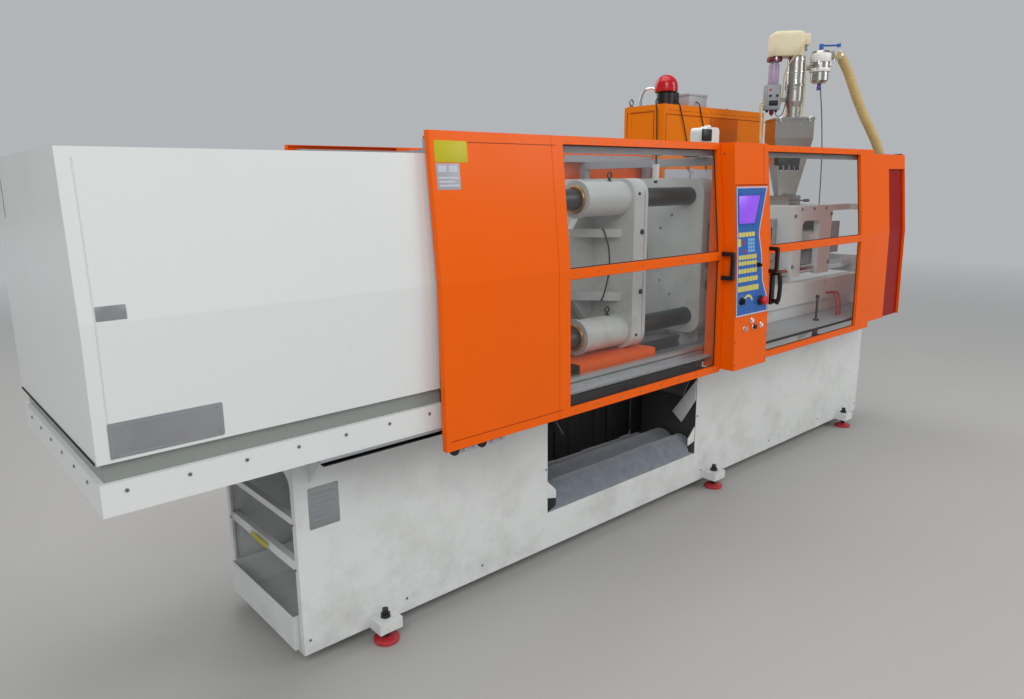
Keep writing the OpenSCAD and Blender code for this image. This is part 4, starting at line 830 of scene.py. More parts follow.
# The loader stands over the feed throat, turned to the front left corner
LOADER = shift(1890, 0) @ turned(-45)
THROAT = Vector((1890, 0, 1560))
HOSE_POINTS = (
    (204, -196, 950), (228, -205, 940), (247, -216, 905), (272, -236, 850), (296, -260, 770),
    (322, -292, 670), (352, -328, 570), (388, -368, 470), (425, -398, 380), (450, -414, 300),
    (460, -420, 200), (460, -420, 60), (460, -420, 11),
)
LOADER_CORDS = (
    ("loader_loop", 5, "cable", (
        (-92, 0, 2163), (-92, -4, 2146), (-80, -18, 2136), (-62, -26, 2142), (-52, -30, 2166),
        (-44, -26, 2200), (-34, -22, 2236),
    )),
    ("loader_tube_left", 9, "tube", (
        (60, -31, 2600), (56, -44, 2598), (40, -74, 2570), (0, -86, 2520), (-50, -74, 2450),
        (-66, -56, 2380), (-66, -44, 2300), (-66, -30, 2230), (-76, -24, 2205),
    )),
    ("loader_tube_right", 9, "tube", (
        (62, -46, 2507), (64, -47, 2460), (70, -48, 2340), (66, -48, 2200), (64, -48, 2119),
    )),
)
FEED_POINTS = (
    (1732, 110, 2120), (1700, 90, 2030), (1655, 60, 1900), (1600, 40, 1740), (1556, 34, 1600),
    (1544, 32, 1479),
)
FILTER_POINTS = (
    (2001, -138, 2336), (2004, -142, 2280), (2008, -160, 2120), (2012, -176, 1900),
    (2016, -180, 1700), (2018, -180, 1559),
)
CABLES = (
    ("cabinet_cable_left", MACHINE, (
        (1180, 414, 2236), (1180, 396, 2228), (1186, 371, 2206), (1205, 364, 2150),
        (1263, 364, 2007), (1290, 364, 1900), (1300, 364, 1790),
    )),
    ("cabinet_cable_right", MACHINE, (
        (1400, 396, 2230), (1402, 384, 2226), (1408, 370, 2205), (1425, 364, 2140),
        (1488, 364, 1983), (1500, 364, 1880), (1504, 364, 1790),
    )),
    ("cabinet_cable_side", MACHINE, (
        (1100, 470, 2240), (1082, 466, 2238), (1044, 446, 2216), (1030, 426, 2160),
        (1030, 420, 2000), (1030, 420, 1700), (1034, 420, 1560),
    )),
    ("platen_cable", PLATEN, (
        (-250, -262, 1510), (-248, -276, 1490), (-232, -290, 1405), (-232, -290, 1300),
        (-248, -276, 1200), (-252, -262, 1170),
    )),
)
CONDUIT_POINTS = (
    (1075, 590, 2199), (1072, 588, 2240), (1078, 572, 2290), (1100, 540, 2312),
    (1128, 505, 2300), (1150, 478, 2262),
)
RED_HOSE_POINTS = (
    (0, -440, 864), (0, -440, 890), (20, -425, 950), (70, -390, 985), (120, -350, 990),
    (130, -304, 985),
)


class MOULDING_OT_hoses(bpy.types.Operator):
    """Lays the material hose and the cables"""

    bl_idname = "moulding.hoses"
    bl_label = "Hoses and cables"

    def execute(self, context):
        route = [THROAT + Vector(p) for p in HOSE_POINTS]
        hose = lay_cord("material_hose_tube", route, 58, CARRIAGE, "hose", 3)
        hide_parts("material_hose")
        for name, diameter, slot, points in LOADER_CORDS:
            lay_cord(name, [LOADER @ Vector(p) for p in points], diameter, CARRIAGE, slot)
        for name, off in (("feed_tube_low", 0), ("feed_tube_high", 16)):
            exits = ((-169, -14 + off, 2206 + off), (-196, -16 + off, 2200 + off))
            line = [LOADER @ Vector(p) for p in exits]
            line += [Vector(p) + Vector((off, off, 0)) for p in FEED_POINTS]
            lay_cord(name, line, 9, CARRIAGE, "tube")
        lay_cord("filter_cable", FILTER_POINTS, 6, CARRIAGE, "cable")
        for name, body, line in CABLES:
            lay_cord(name, line, 7, body, "cable")
        lay_cord("lamp_conduit", CONDUIT_POINTS, 16, MACHINE, "chrome")
        for name, x in (("red_hose_left", 1830), ("red_hose_right", 1880)):
            bow = [Vector(p) + Vector((x, 0, 0)) for p in RED_HOSE_POINTS]
            lay_cord(name, bow, 14, MACHINE, "red_hose")
        return {"FINISHED"}


class MOULDING_OT_cover(bpy.types.Operator):
    """Puts the plates, the screws and the edge strips on the clamp cover"""

    bl_idname = "moulding.cover"
    bl_label = "Clamp cover"

    def execute(self, context):
        with piece("cover_plate", MACHINE, "bare") as bm:
            at = stand_on(COVER, -2338, 1072, -0.4)
            add_plate(bm, rounded_outline(304, 98, 6), 1.8, at, 0.4)
            add_plate(bm, rounded_outline(74, 38, 3), 1.8, stand_on(COVER, -2448, 1411, -0.4), 0.4)
        with piece("cover_plate_rims", MACHINE, "grey_plastic") as bm:
            at = stand_on(COVER, -2338, 1072, 1.2)
            add_ring(bm, rounded_outline(292, 86, 5), rounded_outline(287, 81, 4), 0.5, at)
            add_screws(bm, at, [(x, y) for x in (-140, 140) for y in (-38, 38)], 3.2)
            at = stand_on(COVER, -2448, 1411, 1.2)
            add_screws(bm, at, [(-33, 0), (33, 0)], 2.2)
        with piece("skirt_screws", MACHINE, "steel") as bm:
            along = [-2460 + 166 * i for i in range(7)]
            for side in (-1, 1):
                at = facing((0, side * 535, 930), (0, side, 0))
                add_screws(bm, at, [(-side * x, 0) for x in along], 5.5)
            across = [-400 + 160 * i for i in range(6)]
            add_screws(bm, facing((-2525, 0, 930), LEFT), [(y, 0) for y in across], 5.5)
        with piece("cover_strip", MACHINE, "seal") as bm:
            for side in (-1, 1):
                spots = [(-1412, side * (leaning(COVER, z) - 4), z) for z in (1020, KINK, 1818)]
                for a, b in zip(spots, spots[1:]):
                    add_rod(bm, a, b, 4.5, 10)
            add_rod(bm, (-1412, -498, 1822), (-1412, 498, 1822), 4.5, 10)
        with piece("cover_slot_rim", MACHINE, "seal") as bm:
            add_sweep(bm, [(-2526, y, 1015) for y in (-520, -200, 200, 520)], 3.5, 8, 1)
        return {"FINISHED"}


# The chute's two walls, with the way from each into the chute
CHUTE_WALLS = ((-665.5, 1), (490.5, -1))


def mat_profile(x):
    """A section of the folded felt, which lies a little differently along its length"""
    sway = 2 * math.sin(x * 0.011) + 1.2 * math.sin(x * 0.037 + 1.0)
    top = [
        (-316, 232), (-319, 246), (-314, 272), (-298, 300 + sway), (-270, 322 + sway),
        (-236, 330 + sway), (-208, 322 + sway), (-190, 303), (-172, 300), (-150, 316 - sway),
        (-118, 326 - sway), (-80, 322 - sway), (-44, 306), (-20, 284), (-8, 263),
    ]
    under = [
        (-22, 262), (-50, 262), (-96, 264), (-150, 262), (-178, 262), (-205, 264), (-236, 264),
        (-262, 262), (-286, 262), (-296, 250), (-300, 232),
    ]
    return [(x, y, z) for y, z in top + under]


class MOULDING_OT_base(bpy.types.Operator):
    """Dresses the base: its plate, the felt in the chute, the curtain behind it, the cheeks"""

    bl_idname = "moulding.base"
    bl_label = "Base"

    def execute(self, context):
        at = facing((-1783, -319.6, 608), FRONT)
        with piece("data_plate", MACHINE, "bare") as bm:
            add_plate(bm, rounded_outline(120, 156, 4), 1.4, at, 0.3)
        with piece("data_plate_fields", MACHINE, "grey_plastic") as bm:
            on = at @ shift(0, 0, 1.3)
            for k, width in enumerate((92, 70, 96, 84, 58, 90)):
                y = 52 - 19 * k
                row = rounded_outline(width, 6, 1.5, 3, -48 + width / 2, y)
                add_plate(bm, row, 0.4, on)
            add_screws(bm, on, [(x, y) for x in (-54, 54) for y in (-72, 72)], 2.6)
        with piece("bar_label", MACHINE, "yellow") as bm:
            at = facing((-1895, 22, 386), LEFT)
            add_plate(bm, rounded_outline(150, 22, 2, 3), 0.8, at, 0.2)
        with piece("felt_fold", MACHINE, "felt", 60.0) as bm:
            add_loft(bm, [mat_profile(-646 + 1118 * i / 56) for i in range(57)])
        with piece("chute_curtain", MACHINE, "seal", 50.0) as bm:
            for i in range(11):
                x = -648 + 104 * i
                y = 62 + 4 * (i % 2)
                sway = 6 * math.sin(i * 2.3)
                rows = []
                for z, push in ((752, 0), (600, 0.4), (430, 0.8), (268, 1.0)):
                    ring = rounded_outline(108, 4.5, 2, 2, x + 52, y + push * sway)
                    rows.append([(px, py, z) for px, py in ring])
                add_loft(bm, rows)
        with piece("curtain_bar", MACHINE, "dark_steel") as bm:
            add_block(bm, (-662, 52, 730), (487, 58.5, 758), 1.5)
            add_bolts(bm, facing((0, 52, 744), FRONT), [(-600 + 170 * i, 0) for i in range(7)], 6, 5)
        with piece("chute_cheeks", MACHINE, "white") as bm:
            low = [(-316, 652), (-166, 442), (-230, 392), (-316, 539)]
            right = CHUTE_WALLS[1][0]
            stood = Matrix(((0, 0, -1, right), (1, 0, 0, 0), (0, 1, 0, 0), (0, 0, 0, 1)))
            add_plate(bm, low, 8, stood, 1.2)
            for x, side in CHUTE_WALLS:
                spots = [(0, 384), (60 * side, 326), (60 * side, 285), (0, 300)]
                on = facing((x, -312, 0), FRONT)
                add_plate(bm, spots[::side], 5, on, 0.8)
        with piece("cheek_feet", MACHINE, "black_plastic") as bm:
            for x, side in CHUTE_WALLS:
                spots = [(0, 299), (58 * side, 284), (56 * side, 246), (0, 232)]
                on = facing((x, -311, 0), FRONT)
                add_plate(bm, spots[::side], 8, on, 2.0)
        with piece("base_screws", MACHINE, "steel") as bm:
            for side in (-1, 1):
                at = facing((0, side * 320, 0), (0, side, 0))
                spots = [(-side * x, 444) for x in (-676, 503)]
                along = (-1870, -1450, -1060, 560, 1300, 1940, 2500)
                spots += [(-side * x, z) for x in along for z in (110, 800)]
                add_screws(bm, at, spots, 5.0)
            ends = [(y, z) for y in (-296, 296) for z in (386, 558)]
            add_screws(bm, facing((-1895, 0, 0), LEFT), ends, 5.0)
            ends = [(y, z) for y in (-290, -97, 97, 290) for z in (120, 450, 780)]
            add_screws(bm, facing((2525, 0, 0), RIGHT), ends, 5.0)
        return {"FINISHED"}


def add_door_truck(bm, x):
    """A light plate with two bolts, under a door's lower edge"""
    add_block(bm, (x - 34, -579, 768), (x + 42, -573, 806), 2.0)
    add_bolts(bm, facing((x, -579, 781), FRONT), [(-20, 0), (26, 3)], 6.5, 6)


def add_door_roller(bm, x):
    at = facing((x, -560, 778), FRONT)
    outline = [
        (0, -12), (7, -12), (7, -8), (18, -8), (20, -5), (17, -2), (17, 2), (20, 5), (18, 8), (6, 9),
        (0, 10),
    ]
    add_lathe(bm, outline, at, 28)
    add_block(bm, (x - 9, -573, 786), (x + 9, -547, 812), 2.0)


class MOULDING_OT_doors(bpy.types.Operator):
    """Dresses the sliding doors: labels, seams, lower rollers, catches"""

    bl_idname = "moulding.doors"
    bl_label = "Doors"

    def execute(self, context):
        for name, slot, x, z, width, height in (
            ("door_label_yellow", "yellow", -1345, 1831, 140, 72),
            ("door_label_grey", "plate", -1364, 1748, 100, 88),
        ):
            with piece(name, CLAMP_DOOR, slot) as bm:
                label = rounded_outline(width, height, 3, 3)
                add_plate(bm, label, 0.7, stand_on(GUARD, x, z, -0.2), 0.15)
        with piece("door_label_fields", CLAMP_DOOR, "silver_print") as bm:
            at = stand_on(GUARD, -1364, 1748, 0.4)
            for x, y, w, h in (
                (-24, 26, 34, 22), (22, 26, 36, 22), (0, -4, 84, 7), (-8, -17, 66, 7),
                (2, -30, 86, 7),
            ):
                add_plate(bm, rounded_outline(w, h, 1.5, 2, x, y), 0.3, at)
        for name, body, side in (("clamp", CLAMP_DOOR, -1.0), ("rear", REAR_DOOR, 1.0)):
            with piece(name + "_door_seam", body, "dark_orange") as bm:
                for z in (1862, 824):
                    seam = [(-1412, z), (-842, z), (-842, z + 2.5), (-1412, z + 2.5)]
                    add_plate(bm, seam, 0.5)
                drape(bm, GUARD, -0.1, side)
        windows = (
            ("clamp", CLAMP_DOOR, -802, 245, -1.0), ("rear", REAR_DOOR, -802, 245, 1.0),
            ("injection", INJECTION_DOOR, 705, 1770, -1.0),
        )
        for name, body, x0, x1, side in windows:
            with piece(name + "_window_seals", body, "seal") as bm:
                for z0, z1 in ((822, 1348), (1388, 1868)):
                    size = (x1 - x0, z1 - z0)
                    middle = ((x0 + x1) / 2, (z0 + z1) / 2)
                    outer = rounded_outline(size[0] + 1, size[1] + 1, 0.5, 1, *middle)
                    inner = rounded_outline(size[0] - 7, size[1] - 7, 0.5, 1, *middle)
                    add_ring(bm, outer, inner, 4.0)
                drape(bm, GUARD, -20.5, side)
            with piece(name + "_window_screws", body, "steel") as bm:
                for k in range(8):
                    x = x0 + 30 + (x1 - x0 - 60) * k / 7
                    for z in (809, 1368, 1881):
                        add_screws(bm, stand_on(GUARD, x, z, 0.0, side > 0), [(0, 0)], 3.4)
        with piece("clamp_door_trucks", CLAMP_DOOR, "plate") as bm:
            for x in (-1325, -1190):
                add_door_truck(bm, x)
        with piece("clamp_door_lower_rollers", CLAMP_DOOR, "black_plastic") as bm:
            for x in (-1375, -1246):
                add_door_roller(bm, x)
        with piece("injection_door_catch", INJECTION_DOOR, "black_plastic") as bm:
            for z in (1096, 1242):
                add_rod(bm, (742, -587, z), (742, -622, z), 11, 20, 2.0)
            loop = ((616, 1082), (626, 1110), (630, 1169), (626, 1228), (616, 1256))
            add_sweep(bm, [(742, -y, z) for y, z in loop], 11, 14, 5)
            add_block(bm, (724, -592, 1076), (760, -578, 1262), 3.0)
        return {"FINISHED"}


MEMBRANE = (
    (281, 1070), (570, 1070), (569, 1132), (520, 1230), (503, 1360), (480, 1460), (489, 1500),
    (561, 1694), (281, 1694),
)
SCREEN = ((299, 1520), (436, 1520), (490, 1652), (299, 1652))
LAMPS = ((429, 1037), (515, 1005))
# How far the membrane's face stands before the column's
MEMBRANE_LIFT = 2.9


def add_keys(bm, x0, x1, z0, z1, across, up, gap=4.0):
    """Rows of small raised keys that fill a field"""
    w, h = (x1 - x0) / across, (z1 - z0) / up
    for i in range(across):
        for k in range(up):
            middle = (x0 + (i + 0.5) * w, z0 + (k + 0.5) * h)
            add_plate(bm, rounded_outline(w - gap, h - gap, min(w, h) * 0.15, 2, *middle), 1.0)


class MOULDING_OT_panel_fields(bpy.types.Operator):
    """Dresses the control column: its membrane, lamps and bezels"""

    bl_idname = "moulding.panel_fields"
    bl_label = "Control column"

    def execute(self, context):
        with piece("membrane_border", MACHINE, "silver_print") as bm:
            add_ring(bm, MEMBRANE, inset(MEMBRANE, 7), 0.6)
            drape(bm, COLUMN, MEMBRANE_LIFT)
        with piece("screen", MACHINE, "screen") as bm:
            add_plate(bm, SCREEN, 1.6, None, 0.4)
            drape(bm, COLUMN, MEMBRANE_LIFT)
        with piece("screen_bezel", MACHINE, "blue_metal") as bm:
            add_ring(bm, inset(SCREEN, -7), SCREEN, 2.2)
            drape(bm, COLUMN, MEMBRANE_LIFT)
        with piece("membrane_keys", MACHINE, "stripe") as bm:
            for x1, z0, z1, count in (
                (438, 1455, 1480, 5), (454, 1346, 1371, 7), (455, 1318, 1341, 7),
                (458, 1279, 1304, 7), (469, 1237, 1264, 7), (480, 1190, 1220, 7),
            ):
                add_keys(bm, 292, x1, z0, z1, count, 1, 3.0)
            add_plate(bm, rounded_outline(24, 38, 3, 3, 300, 1430), 1.0)
            outer = [(46, a) for a in range(20, 161, 14)]
            arc = [(r, math.radians(a)) for r, a in outer + [(34, a) for a in range(160, 19, -14)]]
            add_plate(bm, [(386 + r * math.cos(a), 1128 + r * math.sin(a)) for r, a in arc], 0.8)
            drape(bm, COLUMN, MEMBRANE_LIFT)
        with piece("membrane_pad", MACHINE, "light_blue") as bm:
            add_keys(bm, 372, 436, 1379, 1449, 3, 4, 3.0)
            drape(bm, COLUMN, MEMBRANE_LIFT)
        with piece("membrane_marks", MACHINE, "red_mark") as bm:
            for x, z in ((334, 1430), (350, 1388)):
                add_plate(bm, rounded_outline(18, 18, 8.9, 5, x, z), 1.4)
            drape(bm, COLUMN, MEMBRANE_LIFT)
        with piece("control_bezels", MACHINE, "chrome") as bm:
            ring = [(12.2, -0.5), (15.5, -0.5), (15.5, 2.5), (14, 4.5), (12.2, 4.8), (12.2, -0.5)]
            for x, z in ((367, 1004), (451, 1004)):
                add_lathe(bm, ring, stand_on(COLUMN, x, z), 36)
            shell = [
                (12.3, -0.5), (15.5, -0.5), (15.5, 3.0), (12.6, 4.6), (10.3, 4.8), (9.9, 8.6), (9.2, 8.6),
            ]
            for x, z in LAMPS:
                add_lathe(bm, shell, stand_on(COLUMN, x, z), 36)
            key = [(14.4, 2.8), (19, 2.8), (19, 5.0), (17, 7.0), (14.4, 7.2), (14.4, 2.8)]
            add_lathe(bm, key, stand_on(COLUMN, 465, 1313), 36)
        with piece("lamp_lenses", MACHINE, "white_plastic") as bm:
            dome = [(9.8, 3.2), (9.8, 9.4), (7.6, 11.8), (4, 12.8), (0, 13.2)]
            for x, z in LAMPS:
                add_lathe(bm, dome, stand_on(COLUMN, x, z), 32)
        with piece("stop_collar", MACHINE, "black_plastic") as bm:
            collar = [(14.6, 2.9), (26, 2.9), (26, 7.2), (24, 10.5), (14.6, 10.6), (14.6, 2.9)]
            add_lathe(bm, collar, stand_on(COLUMN, 500, 1133), 40)
            skirt = [(15.6, 2.9), (21, 2.9), (21, 4.2), (18, 5.5), (15.6, 5.6), (15.6, 2.9)]
            add_lathe(bm, skirt, stand_on(COLUMN, 327, 1145), 40)
        with piece("knob_marks", MACHINE, "silver_print") as bm:
            for k in range(11):
                a = math.radians(-50 + 28 * k)
                out = Vector((math.cos(a), math.sin(a)))
                across = Vector((-out.y, out.x)) * 0.9
                spots = [out * 24 + across, out * 30 + across, out * 30 - across, out * 24 - across]
                add_plate(bm, [(spot.x + 327, spot.y + 1145) for spot in spots], 0.5)
            drape(bm, COLUMN, MEMBRANE_LIFT)
        with piece("column_seam", MACHINE, "dark_orange") as bm:
            add_plate(bm, [(531, 1707), (533.5, 1707), (536.5, 1890), (534, 1890)], 0.5)
            add_plate(bm, [(281, 1702), (569, 1702), (569, 1705), (281, 1705)], 0.6)
            drape(bm, COLUMN, -0.1)
        with piece("column_screws", MACHINE, "steel") as bm:
            for x in (287, 563):
                for z in (830, 945):
                    add_screws(bm, stand_on(COLUMN, x, z), [(0, 0)], 4.0)
            for z in (850, 1100, 1350, 1600, 1850):
                for x, way in ((275, LEFT), (575, RIGHT)):
                    add_screws(bm, facing((x, -560, z), way), [(0, 0)], 4.0)
        return {"FINISHED"}


def fluted_ring(width, depth, z, scale, count=150, flutes=50):
    """A rounded rectangle at a height, with small flutes all round"""
    corners = [Vector(p) for p in rounded_outline(width, depth, 28, 8)]
    corners.append(corners[0])
    total = line_length(corners)
    made, step, at = [], 0, 0.0
    for k in range(count):
        want = total * k / count
        while at + (corners[step + 1] - corners[step]).length < want:
            at += (corners[step + 1] - corners[step]).length
            step += 1
        spot = corners[step] + (corners[step + 1] - corners[step]).normalized() * (want - at)
        dip = 0.988 + 0.012 * math.cos(math.tau * flutes * k / count)
        made.append((-50 + spot.x * scale * dip, spot.y * scale * dip, z))
    return made


class MOULDING_OT_loader(bpy.types.Operator):
    """Builds the vacuum loader's head: fluted cover, bottle, control box, clips and bands"""

    bl_idname = "moulding.loader"
    bl_label = "Vacuum loader"

    def execute(self, context):
        with piece("loader_cover", CARRIAGE, "ivory", 50.0, ("loader_motor",)) as bm:
            levels = (
                (2506, 0.97), (2510, 1.0), (2560, 1.0), (2630, 1.0), (2643, 0.975), (2652, 0.92),
                (2657, 0.83), (2659.6, 0.66),
            )
            add_loft(bm, [fluted_ring(202, 148, z, scale) for z, scale in levels], LOADER)
        with piece("loader_side_box", CARRIAGE, "ivory") as bm:
            add_block(bm, (50, -30, 2576), (93, 30, 2645), 5, LOADER, 3)
            add_block(bm, (91, -20, 2590), (94.5, 20, 2632), 1.2, LOADER)
        with piece("loader_joint", CARRIAGE, "grey_plastic") as bm:
            joint = [
                (0, 2540), (9, 2540), (9, 2548), (12, 2550), (12, 2566), (9, 2568), (9, 2578), (0, 2578),
            ]
            add_lathe(bm, joint, LOADER @ shift(73, 0), 24)
        under = LOADER @ shift(-120, 0, 0)
        with piece("bottle_clamp", CARRIAGE, "dark_red") as bm:
            ring = [(34, 2479), (45, 2479), (48, 2483), (48, 2500), (45, 2507), (34, 2507), (34, 2479)]
            add_lathe(bm, ring, under, 48)
            stub = [(0, 2142), (7, 2142), (9, 2150), (14, 2152), (15, 2156), (15, 2178), (0, 2178)]
            add_lathe(bm, stub, under, 28)
        with piece("bottle", CARRIAGE, "bottle") as bm:
            wall = [
                (0, 2335), (27, 2335), (33, 2340), (34, 2348), (34, 2448), (31, 2462), (29, 2470),
                (29, 2481), (0, 2481),
            ]
            add_lathe(bm, wall, under, 44)
        with piece("bottle_insert", CARRIAGE, "white_plastic") as bm:
            core = [(0, 2350), (14, 2350), (17, 2354), (17, 2440), (9, 2452), (0, 2452)]
            add_lathe(bm, core, under, 28)
        with piece("control_box", CARRIAGE, "grey_plastic") as bm:
            add_block(bm, (-170, -38, 2176), (-75, 38, 2335), 6, LOADER, 3)
            add_blocks(
                bm, LOADER,
                ((-162, -41, 2186), (-83, -36, 2325), 2.5),
                ((-77, -12, 2228), (-33, 12, 2254), 2),
            )
        with piece("control_box_trim", CARRIAGE, "black_plastic") as bm:
            front = LOADER @ facing((-122, -41, 2256), FRONT)
            add_plate(bm, rounded_outline(58, 34, 4, 3, 0, -38), 1.2, front, 0.3)
            for u in (-22, 22):
                add_lathe(bm, [(0, 6), (7, 6), (8, 5), (8, 0)], front @ shift(u, 8), 24)
            for u in (-150, -92):
                gland = [(0, 2162), (6, 2162), (8, 2165), (8, 2171), (10, 2172), (10, 2177), (0, 2177)]
                add_lathe(bm, gland, LOADER @ shift(u, 0, 0), 20)
        with piece("control_box_mark", CARRIAGE, "red_mark") as bm:
            add_plate(bm, rounded_outline(16, 12, 3, 3, -22, 46), 1.4, front, 0.3)
        with piece("loader_clips", CARRIAGE, "chrome") as bm:
            for turn in (-100, 20, 140):
                at = LOADER @ shift(20, 0, 0) @ Matrix.Rotation(math.radians(turn), 4, "Z")
                add_blocks(
                    bm, at,
                    ((52, -8, 2296), (57, 8, 2312), 1.2),
                    ((52, -9, 2338), (58, 9, 2362), 1.4),
                    ((59, -5, 2306), (64, 5, 2356), 1.6),
                )
                for v in (-6, 4):
                    add_block(bm, (57, v, 2304), (60, v + 2, 2354), 0.6, at)
            for v in (-46, 46):
                add_block(bm, (-128, min(v, v * 1.25), 2478), (-112, max(v, v * 1.25), 2506), 2, LOADER)
            for z in (2402, 2478):
                band = [(53.5, z), (55.2, z), (55.6, z + 2), (55.2, z + 8), (53.5, z + 8)]
                add_lathe(bm, band, LOADER @ shift(20, 0, 0), 48)
        with piece("filter_bands", CARRIAGE, "white_plastic") as bm:
            at = LOADER @ shift(172, 0, 0)
            for z0, z1 in ((2408, 2430), (2467, 2521)):
                band = [(60, z0), (63, z0), (64, z0 + 2), (64, z1 - 2), (63, z1), (60, z1), (60, z0)]
                add_lathe(bm, band, at, 56)
        with piece("filter_cap", CARRIAGE, "purple") as bm:
            cap = [(0, 2296), (10, 2296), (13, 2300), (13, 2322), (9, 2326), (9, 2340), (0, 2340)]
            add_lathe(bm, cap, at, 28)
            add_rod(bm, LOADER @ Vector((172, -10, 2312)), LOADER @ Vector((172, -34, 2312)), 6, 18, 1.0)
        with piece("filter_clips", CARRIAGE, "chrome") as bm:
            for turn in (-120, 0, 120):
                spot = at @ Matrix.Rotation(math.radians(turn), 4, "Z")
                add_block(bm, (62, -6, 2420), (67, 6, 2476), 1.6, spot)
        with piece("hose_clip", CARRIAGE, "chrome") as bm:
            cuff = [(29.5, 0), (32, 0), (32.4, 1), (32.4, 11), (32, 12), (29.5, 12), (29.5, 0)]
            start, way = Vector((2094, -196, 2510)), Vector((24, -9, -10)).normalized()
            add_lathe(bm, cuff, facing(start, way, way.orthogonal()), 40)
        with piece("valve_ball", "valve_handle_unit", "chrome") as bm:
            half = [math.pi * k / 12 for k in range(13)]
            ball = [(9 * math.sin(a), -9 * math.cos(a)) for a in half]
            add_lathe(bm, ball, LOADER @ shift(290, 0, 2570), 24)
        with piece("hopper_fittings", CARRIAGE, "chrome") as bm:
            for u in (-92, 92):
                front = LOADER @ facing((u, -130, 2104), FRONT)
                add_plate(bm, rounded_outline(22, 30, 3, 3), 5, front, 1.2)
                pin = [LOADER @ Vector((u, -138, z)) for z in (2100, 2128)]
                add_rod(bm, *pin, 3, 12, 0.6)
            for u in (-110, -37, 37, 110):
                add_screws(bm, LOADER @ facing((u, -122, 2080), FRONT), [(0, 0)], 4)
        return {"FINISHED"}


class MOULDING_OT_cabinet(bpy.types.Operator):
    """Dresses the cabinet and the beam: lamp, box, seams, lifting eyes, connectors"""

    bl_idname = "moulding.cabinet"
    bl_label = "Electrical cabinet"

    def execute(self, context):
        at = shift(1165, 460, 0)
        with piece("lamp_dome", MACHINE, "red_plastic", 30.0, ("cabinet_beacon",)) as bm:
            dome = [(0, 2284), (70, 2284), (72, 2287), (72, 2316)]
            for k in range(1, 13):
                a = math.pi / 2 * k / 12
                dome.append((72 * math.cos(a), 2317 + 72.6 * math.sin(a)))
            add_lathe(bm, dome, at, 56)
        with piece("lamp_mount", MACHINE, "black_plastic") as bm:
            seat = [(0, 2199.5), (58, 2199.5), (58, 2276), (66, 2280), (72, 2285), (0, 2285)]
            add_lathe(bm, seat, at, 48)
            add_block(bm, (1155, 415, 2199.5), (1245, 505, 2283), 5)
        with piece("lamp_ribs", MACHINE, "red_mark") as bm:
            for k in range(20):
                spot = at @ Matrix.Rotation(math.tau * k / 20, 4, "Z")
                add_block(bm, (70.5, -2, 2288), (73, 2, 2316), 0.6, spot)
        with piece("cabinet_box", MACHINE, "plate") as bm:
            add_blocks(
                bm, None,
                ((1330, 400, 2199.5), (1532, 520, 2282), 5),
                ((1326, 396, 2268), (1536, 524, 2285), 4),
            )
        with piece("cabinet_seams", MACHINE, "dark_orange") as bm:
            front = facing((0, 369.6, 0), FRONT)
            left = facing((1035.4, 0, 0), LEFT)
            for x0, x1, z0, z1, height, side in (
                (1052, 2188, 900, 2140, 0.8, front), (-666, -450, 1400, 2160, 0.9, left),
            ):
                outer = [(x0, z0), (x1, z0), (x1, z1), (x0, z1)]
                inner = [(x0 + 3, z0 + 3), (x1 - 3, z0 + 3), (x1 - 3, z1 - 3), (x0 + 3, z1 - 3)]
                add_ring(bm, outer, inner, height, side)
        with piece("cabinet_panel", MACHINE, "cabinet_dark") as bm:
            add_plate(bm, rounded_outline(330, 228, 4, 3, 1700, 2020), 1.6, front, 0.5)
        with piece("lifting_eyes", MACHINE, "steel") as bm:
            eye = circle(4.5, 12, 18)
            for x in (1062, 2178):
                add_lathe(bm, [(0, 2199.5), (15, 2199.5), (15, 2204), (8, 2208), (6, 2214), (0, 2214)],
                          shift(x, 656, 0), 20)
                add_lathe(bm, eye, facing((x, 656, 2229), FRONT), 28)
        with piece("beam_connectors", MACHINE, "black_plastic") as bm:
            add_blocks(
                bm, None,
                ((330, -398, 1918), (408, -388, 1976), 4),
                ((250, -392, 1840), (318, -340, 1912), 5),
                ((262, -399, 1852), (306, -390, 1900), 3),
            )
        with piece("lube_lid", MACHINE, "white_plastic") as bm:
            add_rod(bm, (440, -346, 1984), (440, -346, 1998), 17, 28, 2.5)
            add_rod(bm, (398, -346, 1984), (398, -346, 1991), 8, 20, 1.5)
        return {"FINISHED"}


# Stands a section that is drawn in Y and Z on end, along X
PROFILE = Matrix(((0, 0, 1, 0), (1, 0, 0, 0), (0, 1, 0, 0), (0, 0, 0, 1)))


